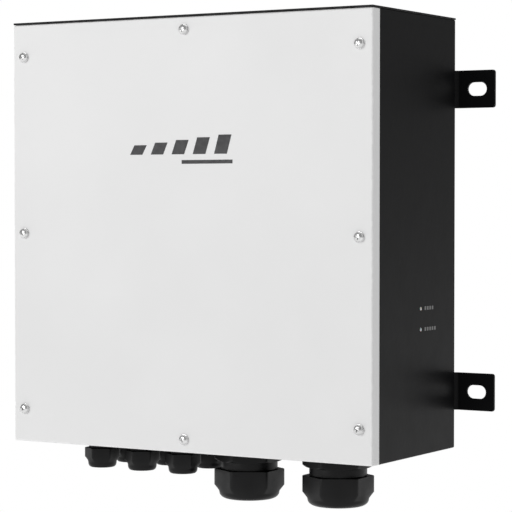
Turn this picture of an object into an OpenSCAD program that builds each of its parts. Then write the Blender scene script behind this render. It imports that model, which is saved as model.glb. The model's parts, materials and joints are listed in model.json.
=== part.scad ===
// Wall-mounted switching box for a solar inverter system.
// The origin is the middle of the four wall slots. The wall is the plane y = 0, the cover
// faces -y, and z points up.

/* [Box] */
// Width of the box and of its cover
box_w = 400; // [400:5:430]
// Height of the box
box_h = 410; // [410:5:440]
// Depth from the face of the cover to the back panel
box_d = 170; // [165:5:200]
// Thickness of the box's steel sheet
sheet_t = 1.5; // [1.2:0.1:1.8]
// Height of the box's middle above the middle of the wall slots
box_rise = 6; // [0:1:10]

/* [Cover] */
// Depth of the cover's folded edge
cover_edge = 13.5; // [12:0.5:15]
// Thickness of the cover's sheet
cover_t = 1.2; // [1:0.1:1.5]
// Distance from a side edge to the screws beside it
screw_in_x = 13.3; // [12:0.1:15]
// Distance from the top or bottom edge to its middle screw
screw_in_z = 12.4; // [12:0.1:15]
// Distance from the top or bottom edge to the corner screws
corner_screw_z = 32.3; // [30:0.1:40]
// Diameter of a cover screw's head
screw_head_d = 9.5; // [9:0.1:10]

/* [Wall straps] */
// Distance between the upper and the lower wall slots
slot_gap_z = 290; // [270:5:300]
// Distance from the box's side to the middle of a wall slot
slot_out = 20; // [19:0.5:21]
// Distance that an ear stands out from the box's side
ear_out = 38.5; // [37:0.5:42]
// Height of a wall strap
strap_h = 36; // [32:1:40]
// Thickness of a wall strap
strap_t = 2.5; // [2:0.1:3]
// Length of a wall slot
slot_l = 20; // [18:0.5:22]
// Width of a wall slot
slot_w = 13; // [10:0.5:14]

/* [Cable glands] */
// Distance from the cover's face to the middle of the gland field
gland_in = 85; // [80:1:90]
// Place of the first large gland, from the middle of the box
large_x = 20.3; // [18:0.1:24]
// Distance between the large glands
large_pitch = 98.4; // [90:0.2:100]
// Place of the first small gland, from the middle of the box
small_x = -136.6; // [-140:0.2:-134]
// Distance between small glands in a row
small_pitch = 48; // [44:0.5:49]
// Distance between the two rows of small glands
small_row_gap = 49; // [44:0.5:54]

/* [Status lamps] */
// Distance from the cover's face to the lamps
lamp_in = 96; // [90:1:100]
// Height of the upper lamp above the middle of the wall slots
lamp_z = -62; // [-66:1:-58]
// Distance between the lamps
lamp_pitch = 19.5; // [16:0.5:24]

/* [Hidden] */
$fn = 48;

// Gaps between pieces that move apart, and between a shank and its hole
free_gap = 0.3;
bore_gap = 0.05;

// Planes of the box
strap_jog = 5;
back_y = -(strap_t + strap_jog);
front_y = back_y - box_d;
bottom_z = box_rise - box_h / 2;
top_z = box_rise + box_h / 2;
side_x = box_w / 2;
seam_y = front_y + cover_edge + free_gap;
inside_back_y = back_y - sheet_t;
hood_t = 1.8;

// Cover, its gasket and its screws
gasket_t = 3.7;
frame_y = front_y + cover_t + gasket_t + free_gap;
frame_rim = 34;
frame_leg = 22;
gasket_in = 22;
gasket_w = 8;
m5_r = 2.5;
washer_t = 1;
cover_top_z = top_z - free_gap;
screw_spots = concat(
    [for (side = [-1, 1]) for (row = [-1, 0, 1])
        [side * (side_x - screw_in_x), box_rise + row * (box_h / 2 - corner_screw_z)]],
    [for (row = [-1, 1]) [0, box_rise + row * (box_h / 2 - screw_in_z)]]
);

// Wall straps
strap_screw_x = [-150, -50, 50, 150];
strap_z = [slot_gap_z / 2, -slot_gap_z / 2];

// Glands: thread radius, width across flats, flange height, neck radius, neck end, nut end,
// dome end, dome radius, spigot radius, insert seat radius and cable bore radius
LARGE = [25, 59.4, 14.5, 27.5, 22.4, 42, 51.3, 29.2, 24, 22, 18];
SMALL = [12.5, 30.6, 6.5, 13.5, 8.7, 20.8, 28.3, 14.15, 11.8, 10.4, 8.5];
seal_t = 1.4;
gland_y = front_y + gland_in;
large_spots = [for (i = [0:1]) [large_x + i * large_pitch, gland_y]];
small_spots = [for (row = [-1, 1]) for (i = [0:2])
    [small_x + i * small_pitch, gland_y + row * small_row_gap / 2]];

// Lamps
lamp_y = front_y + lamp_in;
lamp_spots = [lamp_z, lamp_z - lamp_pitch];
pipe_r = 1.7;
lamp_board_x = side_x - 13;

// Mounting plate. Depths on it are counted forward from its face
plate_gap = 14;
plate_t = 2;
plate_y = inside_back_y - plate_gap - plate_t;
plate_x = 164;
plate_low_z = -122;
plate_high_z = 178;
stud_x = 158;
plate_studs = [for (x = [-stud_x, stud_x]) for (z = [-115, 74, 172]) [x, z]];

// Rails and what clips to them
rail_deep = 7.5;
breaker_z = 133;
contactor_z = 15;
terminal_z = -90;
breaker_h = 85;
module_w = 18;
residual_x = -153;
line_x = -80;
control_x = -7;
contactor_x = [-150, -52];
contactor_w = 72;
base_deep = 56;
nose_deep = 95;
core_half = 26;
toggle_deep = 63;
toggle_r = 6.5;
toggle_up = 40;
small_terminals = 12;
small_terminal_w = 10;
small_terminal_x = -146;
large_terminals = 8;
large_terminal_w = 16;
large_terminal_x = -8;
terminal_gap = 0.2;
end_clamp_w = 7;
terminal_h = 52;
terminal_half = [[36, terminal_h / 2], [42, 22], [42, 8], [48, 6]];

// Control board, wire duct and earth bar
board_low = [66, -22];
board_high = [154, 163];
board_deep = 10;
board_t = 1.6;
board_face = board_deep + board_t;
plug_x = 68;
lamp_plug = [150, -6];
duct_low = [34, -30];
duct_high = [60, 176];
duct_deep = 40;
comb_pitch = 12.5;
comb_gap = 6;
earth_low = [66, -50];
earth_high = [152, -38];
earth_deep = [10, 18];

// Wires: diameters, how far an end reaches into its device, and the depths of the wire entries
wire_d = 5;
thin_d = 2.2;
earth_wire_d = 4;
lamp_lead_d = 3;
entry = 3;
breaker_entry_deep = 31;
contactor_entry_deep = 68;
terminal_entry_deep = 26;
plug_entry_deep = board_face + 7;
near_plate = 6;

// ---------- helpers ----------

module block(low, high) {
    translate(low) cube(high - low);
}

// A rod along y, from y = 0 forward
module rod_y(r, l) {
    rotate([90, 0, 0]) cylinder(r = r, h = l);
}

// A rod along x, middled on x = 0
module rod_x(r, l) {
    rotate([0, 90, 0]) cylinder(r = r, h = l, center = true);
}

// A hexagonal bar along z with a corner towards y
module hex_bar(across, h) {
    rotate([0, 0, 30]) cylinder(r = across / 2 / cos(30), h = h, $fn = 6);
}

// A block on the plate, from depth near to depth far
module on_plate(low, high, near, far) {
    block([low.x, plate_y - far, low.y], [high.x, plate_y - near, high.y]);
}

// An outline in depth and height, drawn out along x from x0 and standing on the plate at height z
module rail_shape(outline, x0, w, z) {
    translate([x0, plate_y, z])
        rotate([90, 0, 90])
            linear_extrude(w)
                polygon([for (p = outline) [-p.x, p.y]]);
}

// The same points again on the other side of the middle line, in reverse order
function mirrored(half) = concat(half, [for (i = [len(half) - 1:-1:0]) [half[i].x, -half[i].y]]);

// The back of a device, with hooks that grip the 35 mm rail
function rail_grip(h) = [[7.8, 17.8], [6.2, 17.8], [6.2, 15], [1, 15], [1, h / 2]];

// A pan-head screw along y with its seat at y = 0, its head forward
module pan_screw(shank_r, shank_l, head_r, head_h) {
    difference() {
        union() {
            rotate([90, 0, 0]) rotate_extrude() pan_outline(head_r, head_h);
            translate([0, shank_l, 0]) rod_y(shank_r, shank_l + 0.01);
        }
        translate([0, -head_h * 0.45, 0]) {
            block([-head_r * 0.55, -head_h, -0.5], [head_r * 0.55, 0, 0.5]);
            block([-0.5, -head_h, -head_r * 0.55], [0.5, 0, head_r * 0.55]);
        }
    }
}

// Half of a pan head: a straight rim and an arched top
module pan_outline(r, h) {
    rim = h * 0.35;
    polygon(concat(
        [[0, 0], [r, 0]],
        [for (a = [0:15:75]) [r * cos(a), rim + (h - rim) * sin(a)]],
        [[0, h]]
    ));
}

// ---------- wires ----------

function unit(v) = v / norm(v);
function bend_at(a, corner, b, t) = (1 - t) * (1 - t) * a + 2 * t * (1 - t) * corner + t * t * b;

// The place where a bend starts, on the way from a corner to the next point
function before(corner, other, bend) =
    corner + unit(other - corner) * min(bend, norm(other - corner) * 0.48);

// A route through the given points, with each corner rounded in n steps
function round_route(p, bend, n) = concat(
    [p[0]],
    [for (i = [1:len(p) - 2]) for (j = [0:n])
        bend_at(before(p[i], p[i - 1], bend), p[i], before(p[i], p[i + 1], bend), j / n)],
    [p[len(p) - 1]]
);
function heading(p, i) = unit(p[min(i + 1, len(p) - 1)] - p[max(i - 1, 0)]);
function level(v, t) = unit(v - t * (v * t));
function side_ways(p, i, last, found) = i == len(p) ? found
    : let (way = level(last, heading(p, i))) side_ways(p, i + 1, way, concat(found, [way]));

// A round wire of 8 sides along a rounded route
module wire(points, d, bend, steps = 4) {
    route = round_route(points, bend, steps);
    ways = side_ways(route, 0, [0.31, 0.87, 0.11], []);
    sides = 8;
    rings = len(route);
    polyhedron(
        [for (i = [0:rings - 1]) for (k = [0:sides - 1])
            let (up = cross(heading(route, i), ways[i]), a = 360 * k / sides)
            route[i] + (ways[i] * cos(a) + up * sin(a)) * d / 2],
        concat(
            [[for (k = [0:sides - 1]) k]],
            [[for (k = [sides - 1:-1:0]) (rings - 1) * sides + k]],
            [for (i = [0:rings - 2]) for (k = [0:sides - 1])
                [i * sides + k, (i + 1) * sides + k,
                 (i + 1) * sides + (k + 1) % sides, i * sides + (k + 1) % sides]]
        )
    );
}

// A point on the plate: x, depth in front of the plate, z
function at(x, deep, z) = [x, plate_y - deep, z];

// A wire that leaves one terminal straight down and enters another from above
module drop_wire(top, bottom, d) {
    lead = (top.z - bottom.z) * 0.4;
    wire([top, top - [0, 0, lead], bottom + [0, 0, lead], bottom], d, 30, 5);
}

// ---------- box ----------

module body_shell() {
    color([0.13, 0.13, 0.14]) difference() {
        block([-side_x, seam_y, bottom_z], [side_x, back_y, top_z]);
        block([-side_x + sheet_t, seam_y - 1, bottom_z + sheet_t],
              [side_x - sheet_t, inside_back_y, top_z - sheet_t]);
        for (p = large_spots)
            translate([p.x, p.y, bottom_z - 1]) cylinder(r = LARGE[0] + 0.2, h = sheet_t + 2);
        for (p = small_spots)
            translate([p.x, p.y, bottom_z - 1]) cylinder(r = SMALL[0] + 0.2, h = sheet_t + 2);
        for (z = lamp_spots)
            translate([side_x - sheet_t / 2, lamp_y, z]) rod_x(pipe_r + bore_gap, sheet_t + 2);
        for (z = strap_z) for (x = strap_screw_x)
            translate([x, back_y + 1, z]) rod_y(m5_r + bore_gap, sheet_t + 2);
    }
}

module rain_hood() {
    color([0.13, 0.13, 0.14])
        block([-side_x, front_y, top_z], [side_x, back_y, top_z + hood_t]);
}

module front_frame() {
    low_z = bottom_z + sheet_t;
    high_z = top_z - sheet_t - free_gap;
    out_x = side_x - sheet_t;
    color([0.16, 0.16, 0.17]) difference() {
        block([-out_x, frame_y, low_z], [out_x, frame_y + frame_leg, high_z]);
        block([-out_x + sheet_t, frame_y + sheet_t, low_z + sheet_t],
              [out_x - sheet_t, frame_y + frame_leg + 1, high_z - sheet_t]);
        block([-side_x + frame_rim, frame_y - 1, bottom_z + frame_rim],
              [side_x - frame_rim, frame_y + frame_leg + 1, top_z - frame_rim]);
        for (p = screw_spots)
            translate([p.x, frame_y + sheet_t + 1, p.y]) rod_y(m5_r + bore_gap, sheet_t + 2);
    }
}

// A clinch nut along y, its flange side at y = 0 and its body behind
module clinch_nut() {
    height = 4;
    difference() {
        translate([0, height, 0]) rod_y(4.7, height);
        translate([0, height + 1, 0]) rod_y(m5_r + bore_gap, height + 2);
    }
}

module clinch_nuts() {
    color([0.75, 0.75, 0.72]) {
        for (p = screw_spots) translate([p.x, frame_y + sheet_t, p.y]) clinch_nut();
        for (z = strap_z) for (x = strap_screw_x)
            translate([x, inside_back_y, z]) mirror([0, 1, 0]) clinch_nut();
    }
}

// ---------- cover ----------

module front_cover() {
    color([0.88, 0.88, 0.88]) difference() {
        block([-side_x, front_y, bottom_z], [side_x, front_y + cover_edge, cover_top_z]);
        block([-side_x + cover_t, front_y + cover_t, bottom_z + cover_t],
              [side_x - cover_t, front_y + cover_edge + 1, cover_top_z - cover_t]);
        for (p = screw_spots)
            translate([p.x, front_y + cover_t + 1, p.y]) rod_y(m5_r + bore_gap, cover_t + 2);
    }
}

module cover_gasket() {
    outer = gasket_in;
    inner = gasket_in + gasket_w;
    color([0.2, 0.2, 0.2]) difference() {
        block([-side_x + outer, front_y + cover_t, bottom_z + outer],
              [side_x - outer, front_y + cover_t + gasket_t, top_z - outer]);
        block([-side_x + inner, front_y, bottom_z + inner],
              [side_x - inner, front_y + cover_t + gasket_t + 1, top_z - inner]);
    }
}

module cover_screws() {
    shank_l = 16;
    color([0.85, 0.85, 0.84]) for (p = screw_spots)
        translate([p.x, front_y - washer_t, p.y]) pan_screw(m5_r, shank_l, screw_head_d / 2, 3.4);
}

module screw_washers() {
    color([0.8, 0.8, 0.8]) for (p = screw_spots) translate([p.x, front_y, p.y]) difference() {
        rod_y(screw_head_d / 2 + 0.4, washer_t);
        translate([0, 1, 0]) rod_y(m5_r + bore_gap, washer_t + 2);
    }
}

// A plain printed sign: five slanted bars that grow to the right, over a thin rule
module front_mark() {
    print_t = 0.15;
    bar_w = 14;
    bar_pitch = 23.6;
    slant = 5;
    low = 76;
    color([0.12, 0.12, 0.13]) translate([0, front_y, box_rise]) rotate([90, 0, 0])
        linear_extrude(print_t) {
            for (i = [0:4]) let (high = 9 + i * 2.2) translate([-61 + i * bar_pitch, low])
                polygon([[0, 0], [bar_w, 0], [bar_w + slant, high], [slant, high]]);
            translate([-2.5, low - 9]) square([56, 3.5]);
        }
}

// ---------- wall straps ----------

module wall_strap(z) {
    ear_x = side_x + ear_out;
    corner = 2.5;
    bend_x = side_x - 6;
    hat = [[ear_x, 0], [side_x - 1, 0], [bend_x - 1, -strap_jog], [-bend_x + 1, -strap_jog],
           [-side_x + 1, 0], [-ear_x, 0], [-ear_x, -strap_t], [-side_x, -strap_t],
           [-bend_x, back_y], [bend_x, back_y], [side_x, -strap_t], [ear_x, -strap_t]];
    color([0.1, 0.1, 0.11]) translate([0, 0, z]) difference() {
        intersection() {
            translate([0, 0, -strap_h / 2]) linear_extrude(strap_h) polygon(hat);
            union() {
                block([-ear_x + corner, back_y - 1, -strap_h / 2], [ear_x - corner, 1, strap_h / 2]);
                block([-ear_x, back_y - 1, -strap_h / 2 + corner], [ear_x, 1, strap_h / 2 - corner]);
                for (x = [-1, 1]) for (k = [-1, 1])
                    translate([x * (ear_x - corner), 1, k * (strap_h / 2 - corner)])
                        rod_y(corner, strap_t + strap_jog + 2);
            }
        }
        for (side = [-1, 1]) wall_slot(side * (side_x + slot_out));
        for (x = strap_screw_x) translate([x, 0, 0]) rod_y(m5_r + bore_gap, strap_jog + strap_t + 1);
    }
}

module wall_slot(x) {
    half = (slot_l - slot_w) / 2;
    for (end = [-half, half]) translate([x + end, 1, 0]) rod_y(slot_w / 2, strap_t + 2);
    block([x - half, -strap_t - 1, -slot_w / 2], [x + half, 1, slot_w / 2]);
}

module upper_wall_strap() {
    wall_strap(strap_z[0]);
}

module lower_wall_strap() {
    wall_strap(strap_z[1]);
}

module strap_screws() {
    head_h = 2.6;
    shank_l = 10;
    color([0.6, 0.6, 0.6]) for (z = strap_z) for (x = strap_screw_x)
        translate([x, -strap_jog, z]) mirror([0, 1, 0]) pan_screw(m5_r, shank_l, 4.6, head_h);
}

// ---------- cable glands, drawn with z counted down from the underside ----------

module under(spot) {
    translate([spot.x, spot.y, bottom_z]) mirror([0, 0, 1]) children();
}

module gland_body(g) {
    thread_up = sheet_t + 11;
    spigot_end = g[5] - 1.5;
    finger_h = (spigot_end - g[4]) * 0.6;
    difference() {
        union() {
            translate([0, 0, -thread_up]) cylinder(r = g[0], h = thread_up + g[2]);
            translate([0, 0, seal_t]) hex_bar(g[1], g[2] - seal_t);
            cylinder(r = g[3], h = g[4]);
            cylinder(r = g[8], h = spigot_end);
        }
        translate([0, 0, -thread_up - 1]) cylinder(r = g[10] + 1, h = thread_up + spigot_end + 2);
        translate([0, 0, g[4] - 2]) cylinder(r = g[9], h = spigot_end);
        difference() {
            translate([0, 0, -1]) cylinder(r = g[3] + 1, h = seal_t + 1);
            translate([0, 0, -2]) cylinder(r = g[0], h = seal_t + 3);
        }
        for (k = [0:5]) rotate([0, 0, 60 * k])
            block([0, -0.8, spigot_end - finger_h], [g[0] + 5, 0.8, spigot_end + 1]);
    }
}

module dome_nut(g) {
    nut_start = g[4] + free_gap;
    mouth_r = g[10] + 1.2;
    face_r = g[1] * 0.51;
    corner_r = g[1] * 0.6;
    chamfer = g[1] * 0.04;
    lip_h = (g[6] - g[5]) * 0.4;
    arc = [for (a = [0:15:90]) [mouth_r + 1.5 + (g[7] - mouth_r - 1.5) * cos(a),
                                g[5] + 3 + (g[6] - g[5] - 3) * sin(a)]];
    difference() {
        union() {
            intersection() {
                translate([0, 0, nut_start]) hex_bar(g[1], g[5] - nut_start);
                rotate_extrude() polygon([[0, nut_start], [face_r, nut_start],
                    [corner_r, nut_start + chamfer], [corner_r, g[5] - chamfer], [face_r, g[5]], [0, g[5]]]);
            }
            rotate_extrude() polygon(concat([[0, g[5] - 1], [g[7], g[5] - 1]], arc, [[0, g[6]]]));
        }
        translate([0, 0, nut_start - 1]) cylinder(r = g[8] + 0.1, h = g[5] - nut_start + 1);
        cylinder(r = g[9] + 0.6, h = g[6] - lip_h);
        cylinder(r = mouth_r, h = g[6] + 1);
    }
}

module gland_insert(g) {
    start = g[4] - 1.8;
    end = g[6] - (g[6] - g[5]) * 0.4 - 0.3;
    difference() {
        translate([0, 0, start]) cylinder(r = g[9] - bore_gap, h = end - start);
        cylinder(r = g[10], h = end + 1);
    }
}

module gland_seal(g) {
    difference() {
        cylinder(r = g[1] / 2 - 0.4, h = seal_t);
        translate([0, 0, -1]) cylinder(r = g[0] + bore_gap, h = seal_t + 2);
    }
}

module lock_nut(g) {
    height = 7;
    translate([0, 0, -sheet_t - height]) difference() {
        hex_bar(g[1] + 1, height);
        translate([0, 0, -1]) cylinder(r = g[0] + bore_gap, h = height + 2);
    }
}

module large_gland_bodies() {
    color([0.1, 0.1, 0.1]) for (p = large_spots) under(p) gland_body(LARGE);
}

module small_gland_bodies() {
    color([0.1, 0.1, 0.1]) for (p = small_spots) under(p) gland_body(SMALL);
}

module gland_seals() {
    color([0.05, 0.05, 0.05]) {
        for (p = large_spots) under(p) gland_seal(LARGE);
        for (p = small_spots) under(p) gland_seal(SMALL);
    }
}

module gland_lock_nuts() {
    color([0.12, 0.12, 0.12]) {
        for (p = large_spots) under(p) lock_nut(LARGE);
        for (p = small_spots) under(p) lock_nut(SMALL);
    }
}

module gland_inserts() {
    color([0.08, 0.08, 0.08]) {
        for (p = large_spots) under(p) gland_insert(LARGE);
        for (p = small_spots) under(p) gland_insert(SMALL);
    }
}

module large_dome_nut(i) {
    color([0.1, 0.1, 0.1]) under(large_spots[i]) dome_nut(LARGE);
}

module small_dome_nut(i) {
    color([0.1, 0.1, 0.1]) under(small_spots[i]) dome_nut(SMALL);
}

// ---------- status lamps ----------

// Two printed rows beside the lamps: plain upright dashes
module status_marks() {
    print_t = 0.15;
    color([0.5, 0.5, 0.5]) for (row = [0, 1]) for (i = [0:3 + row])
        block([side_x, lamp_y + 8 + i * 5, lamp_spots[row] - 1.6],
              [side_x + print_t, lamp_y + 11 + i * 5, lamp_spots[row] + 1.8]);
}

module light_pipes() {
    start_x = lamp_board_x + 2.4;
    color([0.85, 0.88, 0.85]) for (z = lamp_spots) translate([0, lamp_y, z]) rotate([0, 90, 0])
        rotate_extrude() polygon(concat(
            [[0, start_x], [2.6, start_x], [2.6, side_x - sheet_t - bore_gap],
             [pipe_r, side_x - sheet_t - bore_gap]],
            [for (a = [0:22.5:67.5]) [pipe_r * cos(a), side_x + 0.7 * sin(a)]],
            [[0, side_x + 0.7]]
        ));
}

module lamp_board() {
    color([0.1, 0.35, 0.2]) difference() {
        block([lamp_board_x, lamp_y - 14, lamp_spots[1] - 13],
              [lamp_board_x + 1.6, lamp_y + 14, lamp_spots[0] + 13]);
        for (z = lamp_screws()) translate([lamp_board_x, lamp_y, z]) rod_x(1.6, 6);
    }
    color([0.9, 0.9, 0.85]) for (z = lamp_spots)
        block([lamp_board_x + 1.6, lamp_y - 1.8, z - 1.8], [lamp_board_x + 2.3, lamp_y + 1.8, z + 1.8]);
}

function lamp_screws() = [lamp_spots[1] - 9, lamp_spots[0] + 9];

// ---------- mounting plate ----------

module mounting_plate() {
    color([0.72, 0.73, 0.74]) difference() {
        on_plate([-plate_x, plate_low_z], [plate_x, plate_high_z], -plate_t, 0);
        for (p = plate_studs) translate([p.x, plate_y + plate_t + 1, p.y]) rod_y(2.7, plate_t + 2);
    }
}

module hex_spacer_y(across, l) {
    rotate([90, 0, 0]) cylinder(r = across / 2 / cos(30), h = l, $fn = 6);
}

function board_corners() = [for (x = [board_low.x + 5, board_high.x - 5])
    for (z = [board_low.y + 5, board_high.y - 5]) [x, z]];

// Studs behind the mounting plate, and the threaded spacers of the two circuit boards
module hex_spacers() {
    color([0.8, 0.78, 0.7]) {
        for (p = plate_studs) translate([p.x, inside_back_y, p.y]) {
            hex_spacer_y(10, plate_gap);
            rod_y(m5_r - bore_gap, plate_gap + plate_t + 7);
        }
        for (p = board_corners()) translate([p.x, plate_y, p.y]) difference() {
            hex_spacer_y(5.5, board_deep);
            translate([0, -4, 0]) rod_y(1.6, board_deep);
        }
        for (z = lamp_screws()) translate([lamp_board_x + 1.6, lamp_y, z]) rotate([0, 0, -90])
            difference() {
                mirror([0, 1, 0]) hex_spacer_y(5.5, side_x - sheet_t - lamp_board_x - 1.6);
                translate([0, 6, 0]) rod_y(1.6, 8);
            }
    }
}

module plate_nuts() {
    color([0.8, 0.8, 0.78]) for (p = plate_studs) translate([p.x, plate_y, p.y]) difference() {
        hex_spacer_y(8, 4);
        translate([0, 1, 0]) rod_y(m5_r, 6);
    }
}

module din_rails() {
    half = [[1, 12.5], [rail_deep, 12.5], [rail_deep, 17.5], [rail_deep - 1, 17.5],
            [rail_deep - 1, 13.5], [0, 13.5]];
    outline = mirrored([for (i = [5:-1:0]) half[i]]);
    color([0.78, 0.79, 0.8]) {
        rail_shape(outline, -157, 188, breaker_z);
        rail_shape(outline, -157, 188, contactor_z);
        rail_shape(outline, -157, 314, terminal_z);
    }
}

// ---------- breakers ----------

function breaker_outline() = mirrored(concat(rail_grip(breaker_h),
    [[46, breaker_h / 2], [50, breaker_h / 2 - 4], [50, 22.5], [70, 22.5]]));

function pole_x(x0, i) = x0 + module_w * (i + 0.5);

// A breaker case of several modules, with slots for its levers and shallow wire entries
module breaker_case(x0, modules, levers) {
    difference() {
        rail_shape(breaker_outline(), x0, modules * module_w, breaker_z);
        for (i = levers) translate([pole_x(x0, i), plate_y - toggle_deep, breaker_z]) {
            rod_x(toggle_r + 0.1, 9);
            block([-4.5, -10, -9.5], [4.5, -3, 9.5]);
        }
        for (i = [0:modules - 1]) for (end = [-1, 1])
            translate([pole_x(x0, i), plate_y, breaker_z]) {
                block([-5.5, -breaker_entry_deep - 5, end * (breaker_h / 2 - 1) - 2],
                      [5.5, -breaker_entry_deep + 5, end * (breaker_h / 2 - 1) + 2]);
                translate([0, -47, end * 32]) rod_y(3, 10);
            }
        for (i = [1:1:modules - 1]) for (end = [-1, 1])
            translate([x0 + i * module_w, plate_y, breaker_z])
                block([-0.2, -71, end * 23 - 24], [0.2, -69.2, end * 23 + 24]);
    }
}

// Levers on one axis, tied by a bar, at rest in the raised position
module toggle(x0, levers, tie_from, tie_to) {
    reach = 15;
    translate([0, plate_y - toggle_deep, breaker_z]) rotate([-toggle_up, 0, 0]) {
        for (i = levers) translate([pole_x(x0, i), 0, 0]) {
            rod_x(toggle_r, 8.4);
            block([-3.5, -reach, -2], [3.5, 0, 2]);
        }
        block([tie_from, -reach - 2.5, -2.5], [tie_to, -reach + 1.5, 2.5]);
    }
}

module residual_breaker() {
    color([0.9, 0.9, 0.88]) difference() {
        breaker_case(residual_x, 4, [2]);
        translate([pole_x(residual_x, 0), plate_y - 62, breaker_z - 10])
            block([-3.3, -9, -3.3], [3.3, 0, 3.3]);
    }
}

module residual_toggle() {
    color([0.15, 0.25, 0.5])
        toggle(residual_x, [2], pole_x(residual_x, 2) - 8, pole_x(residual_x, 2) + 8);
}

module test_button() {
    color([0.9, 0.75, 0.2]) translate([pole_x(residual_x, 0), plate_y - 64, breaker_z - 10])
        block([-3, -7.5, -3], [3, 0, 3]);
}

module line_breaker() {
    color([0.9, 0.9, 0.88]) breaker_case(line_x, 4, [0, 1, 2, 3]);
}

module line_toggle() {
    color([0.12, 0.12, 0.12]) toggle(line_x, [0, 1, 2, 3], line_x + 4, line_x + 4 * module_w - 4);
}

module control_breaker() {
    color([0.9, 0.9, 0.88]) breaker_case(control_x, 2, [0, 1]);
}

module control_toggle() {
    color([0.12, 0.12, 0.12]) toggle(control_x, [0, 1], control_x + 4, control_x + 2 * module_w - 4);
}

// ---------- contactors ----------

module contactor_bases() {
    outline = mirrored(concat(rail_grip(breaker_h), [[base_deep, breaker_h / 2]]));
    color([0.82, 0.82, 0.8]) for (x = contactor_x) difference() {
        rail_shape(outline, x, contactor_w, contactor_z);
        on_plate([x + 4, contactor_z - 29], [x + contactor_w - 4, contactor_z + 29], 10, base_deep + 1);
    }
}

module contactor_cores() {
    leg = 6;
    color([0.55, 0.55, 0.57]) for (x = contactor_x) translate([x + contactor_w / 2, plate_y, contactor_z]) {
        block([-8, -18, -core_half], [8, -10, core_half]);
        for (z = [-core_half + leg / 2, 0, core_half - leg / 2])
            block([-8, -40, z - (z == 0 ? leg : leg / 2)], [8, -17, z + (z == 0 ? leg : leg / 2)]);
    }
}

module contactor_coils() {
    color([0.72, 0.4, 0.18]) for (x = contactor_x) translate([x + contactor_w / 2, plate_y, contactor_z])
        difference() {
            block([-20, -38, -18.5], [20, -19, 18.5]);
            block([-8.2, -39, -6.2], [8.2, -17, 6.2]);
        }
}

module contactor_covers() {
    outline = mirrored([[base_deep + 0.1, breaker_h / 2], [80, breaker_h / 2], [84, 38.5],
                        [84, 24], [nose_deep, 24]]);
    window = [5.5, 4.5];
    color([0.16, 0.16, 0.17]) for (x = contactor_x) difference() {
        rail_shape(outline, x, contactor_w, contactor_z);
        translate([x + contactor_w / 2, plate_y, contactor_z]) {
            block([-33, -80, -20], [33, -base_deep, 20]);
            block([-window.x, -nose_deep - 1, -window.y], [window.x, -79, window.y]);
        }
        for (i = [0:3]) for (end = [-1, 1]) translate([pole_x(x, i), plate_y, contactor_z]) {
            block([-6, -contactor_entry_deep - 5, end * (breaker_h / 2 - 1) - 2],
                  [6, -contactor_entry_deep + 5, end * (breaker_h / 2 - 1) + 2]);
            translate([0, -81, end * 31]) rod_y(3.4, 10);
        }
    }
}

// The moving armature with its contact bridge, and the tab that shows in the window
module contactor_carrier(i) {
    color([0.2, 0.45, 0.3]) translate([contactor_x[i] + contactor_w / 2, plate_y, contactor_z]) {
        block([-8, -52, -core_half], [8, -45, core_half]);
        block([-5, -nose_deep + 0.8, -4], [5, -51, 4]);
        block([-30, -72, -6], [30, -64, 6]);
    }
}

// ---------- terminals ----------

function terminal_mid(x0, w, i) = x0 + i * (w + terminal_gap) + w / 2;

// A row of terminals with an end clamp at either side
module terminal_row(x0, w, count, hole_r) {
    end_clamp(x0 - end_clamp_w - 0.3);
    end_clamp(x0 + count * (w + terminal_gap));
    for (i = [0:count - 1]) difference() {
        rail_shape(mirrored(concat(rail_grip(terminal_h), terminal_half)),
                   terminal_mid(x0, w, i) - w / 2, w, terminal_z);
        translate([terminal_mid(x0, w, i), plate_y, terminal_z]) for (end = [-1, 1]) {
            translate([0, -33, end * 15]) rod_y(hole_r, 10);
            block([-hole_r, -32, end * (terminal_h / 2 - 1) - 1.5],
                  [hole_r, -20, end * (terminal_h / 2 - 1) + 1.5]);
        }
    }
}

// Narrow clamp that closes a row of terminals on its rail
module end_clamp(x0) {
    half = [[34, 20], [38, 16]];
    rail_shape(mirrored(concat(rail_grip(44), [[30, 22]], half)), x0, end_clamp_w, terminal_z);
}

module field_terminals() {
    color([0.55, 0.56, 0.57]) {
        terminal_row(small_terminal_x, small_terminal_w, small_terminals, 3.3);
        terminal_row(large_terminal_x, large_terminal_w, large_terminals, 5.3);
    }
}

module slotted_screws(x0, w, count, r) {
    for (i = [0:count - 1]) for (end = [-1, 1])
        translate([terminal_mid(x0, w, i), plate_y - 33, terminal_z + end * 15]) difference() {
            rod_y(r, 5);
            block([-r, -6, -0.5], [r, -3.8, 0.5]);
        }
}

module terminal_screws() {
    color([0.8, 0.79, 0.75]) {
        slotted_screws(small_terminal_x, small_terminal_w, small_terminals, 3.2);
        slotted_screws(large_terminal_x, large_terminal_w, large_terminals, 5.2);
    }
}

function earth_screw_x() = [for (i = [0:7]) earth_low.x + 8 + i * 10];

module earth_bar() {
    mid_z = (earth_low.y + earth_high.y) / 2;
    color([0.78, 0.62, 0.3]) difference() {
        union() {
            on_plate(earth_low, earth_high, earth_deep[0], earth_deep[1]);
            for (x = [earth_low.x, earth_high.x - 8])
                on_plate([x, earth_low.y], [x + 8, earth_high.y], 0, earth_deep[0]);
        }
        for (x = earth_screw_x())
            translate([x, plate_y - earth_deep[1] + 5.5, mid_z]) rod_y(2 + bore_gap, 7);
    }
}

module earth_bar_screws() {
    mid_z = (earth_low.y + earth_high.y) / 2;
    color([0.8, 0.8, 0.78]) for (x = earth_screw_x())
        translate([x, plate_y - earth_deep[1], mid_z]) pan_screw(2, 5, 3.8, 3);
}

// ---------- control board ----------

module control_board() {
    color([0.1, 0.35, 0.2]) difference() {
        on_plate(board_low, board_high, board_deep, board_face);
        for (p = board_corners()) translate([p.x, plate_y, p.y]) rod_y(1.6, board_face + 2);
    }
}

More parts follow.
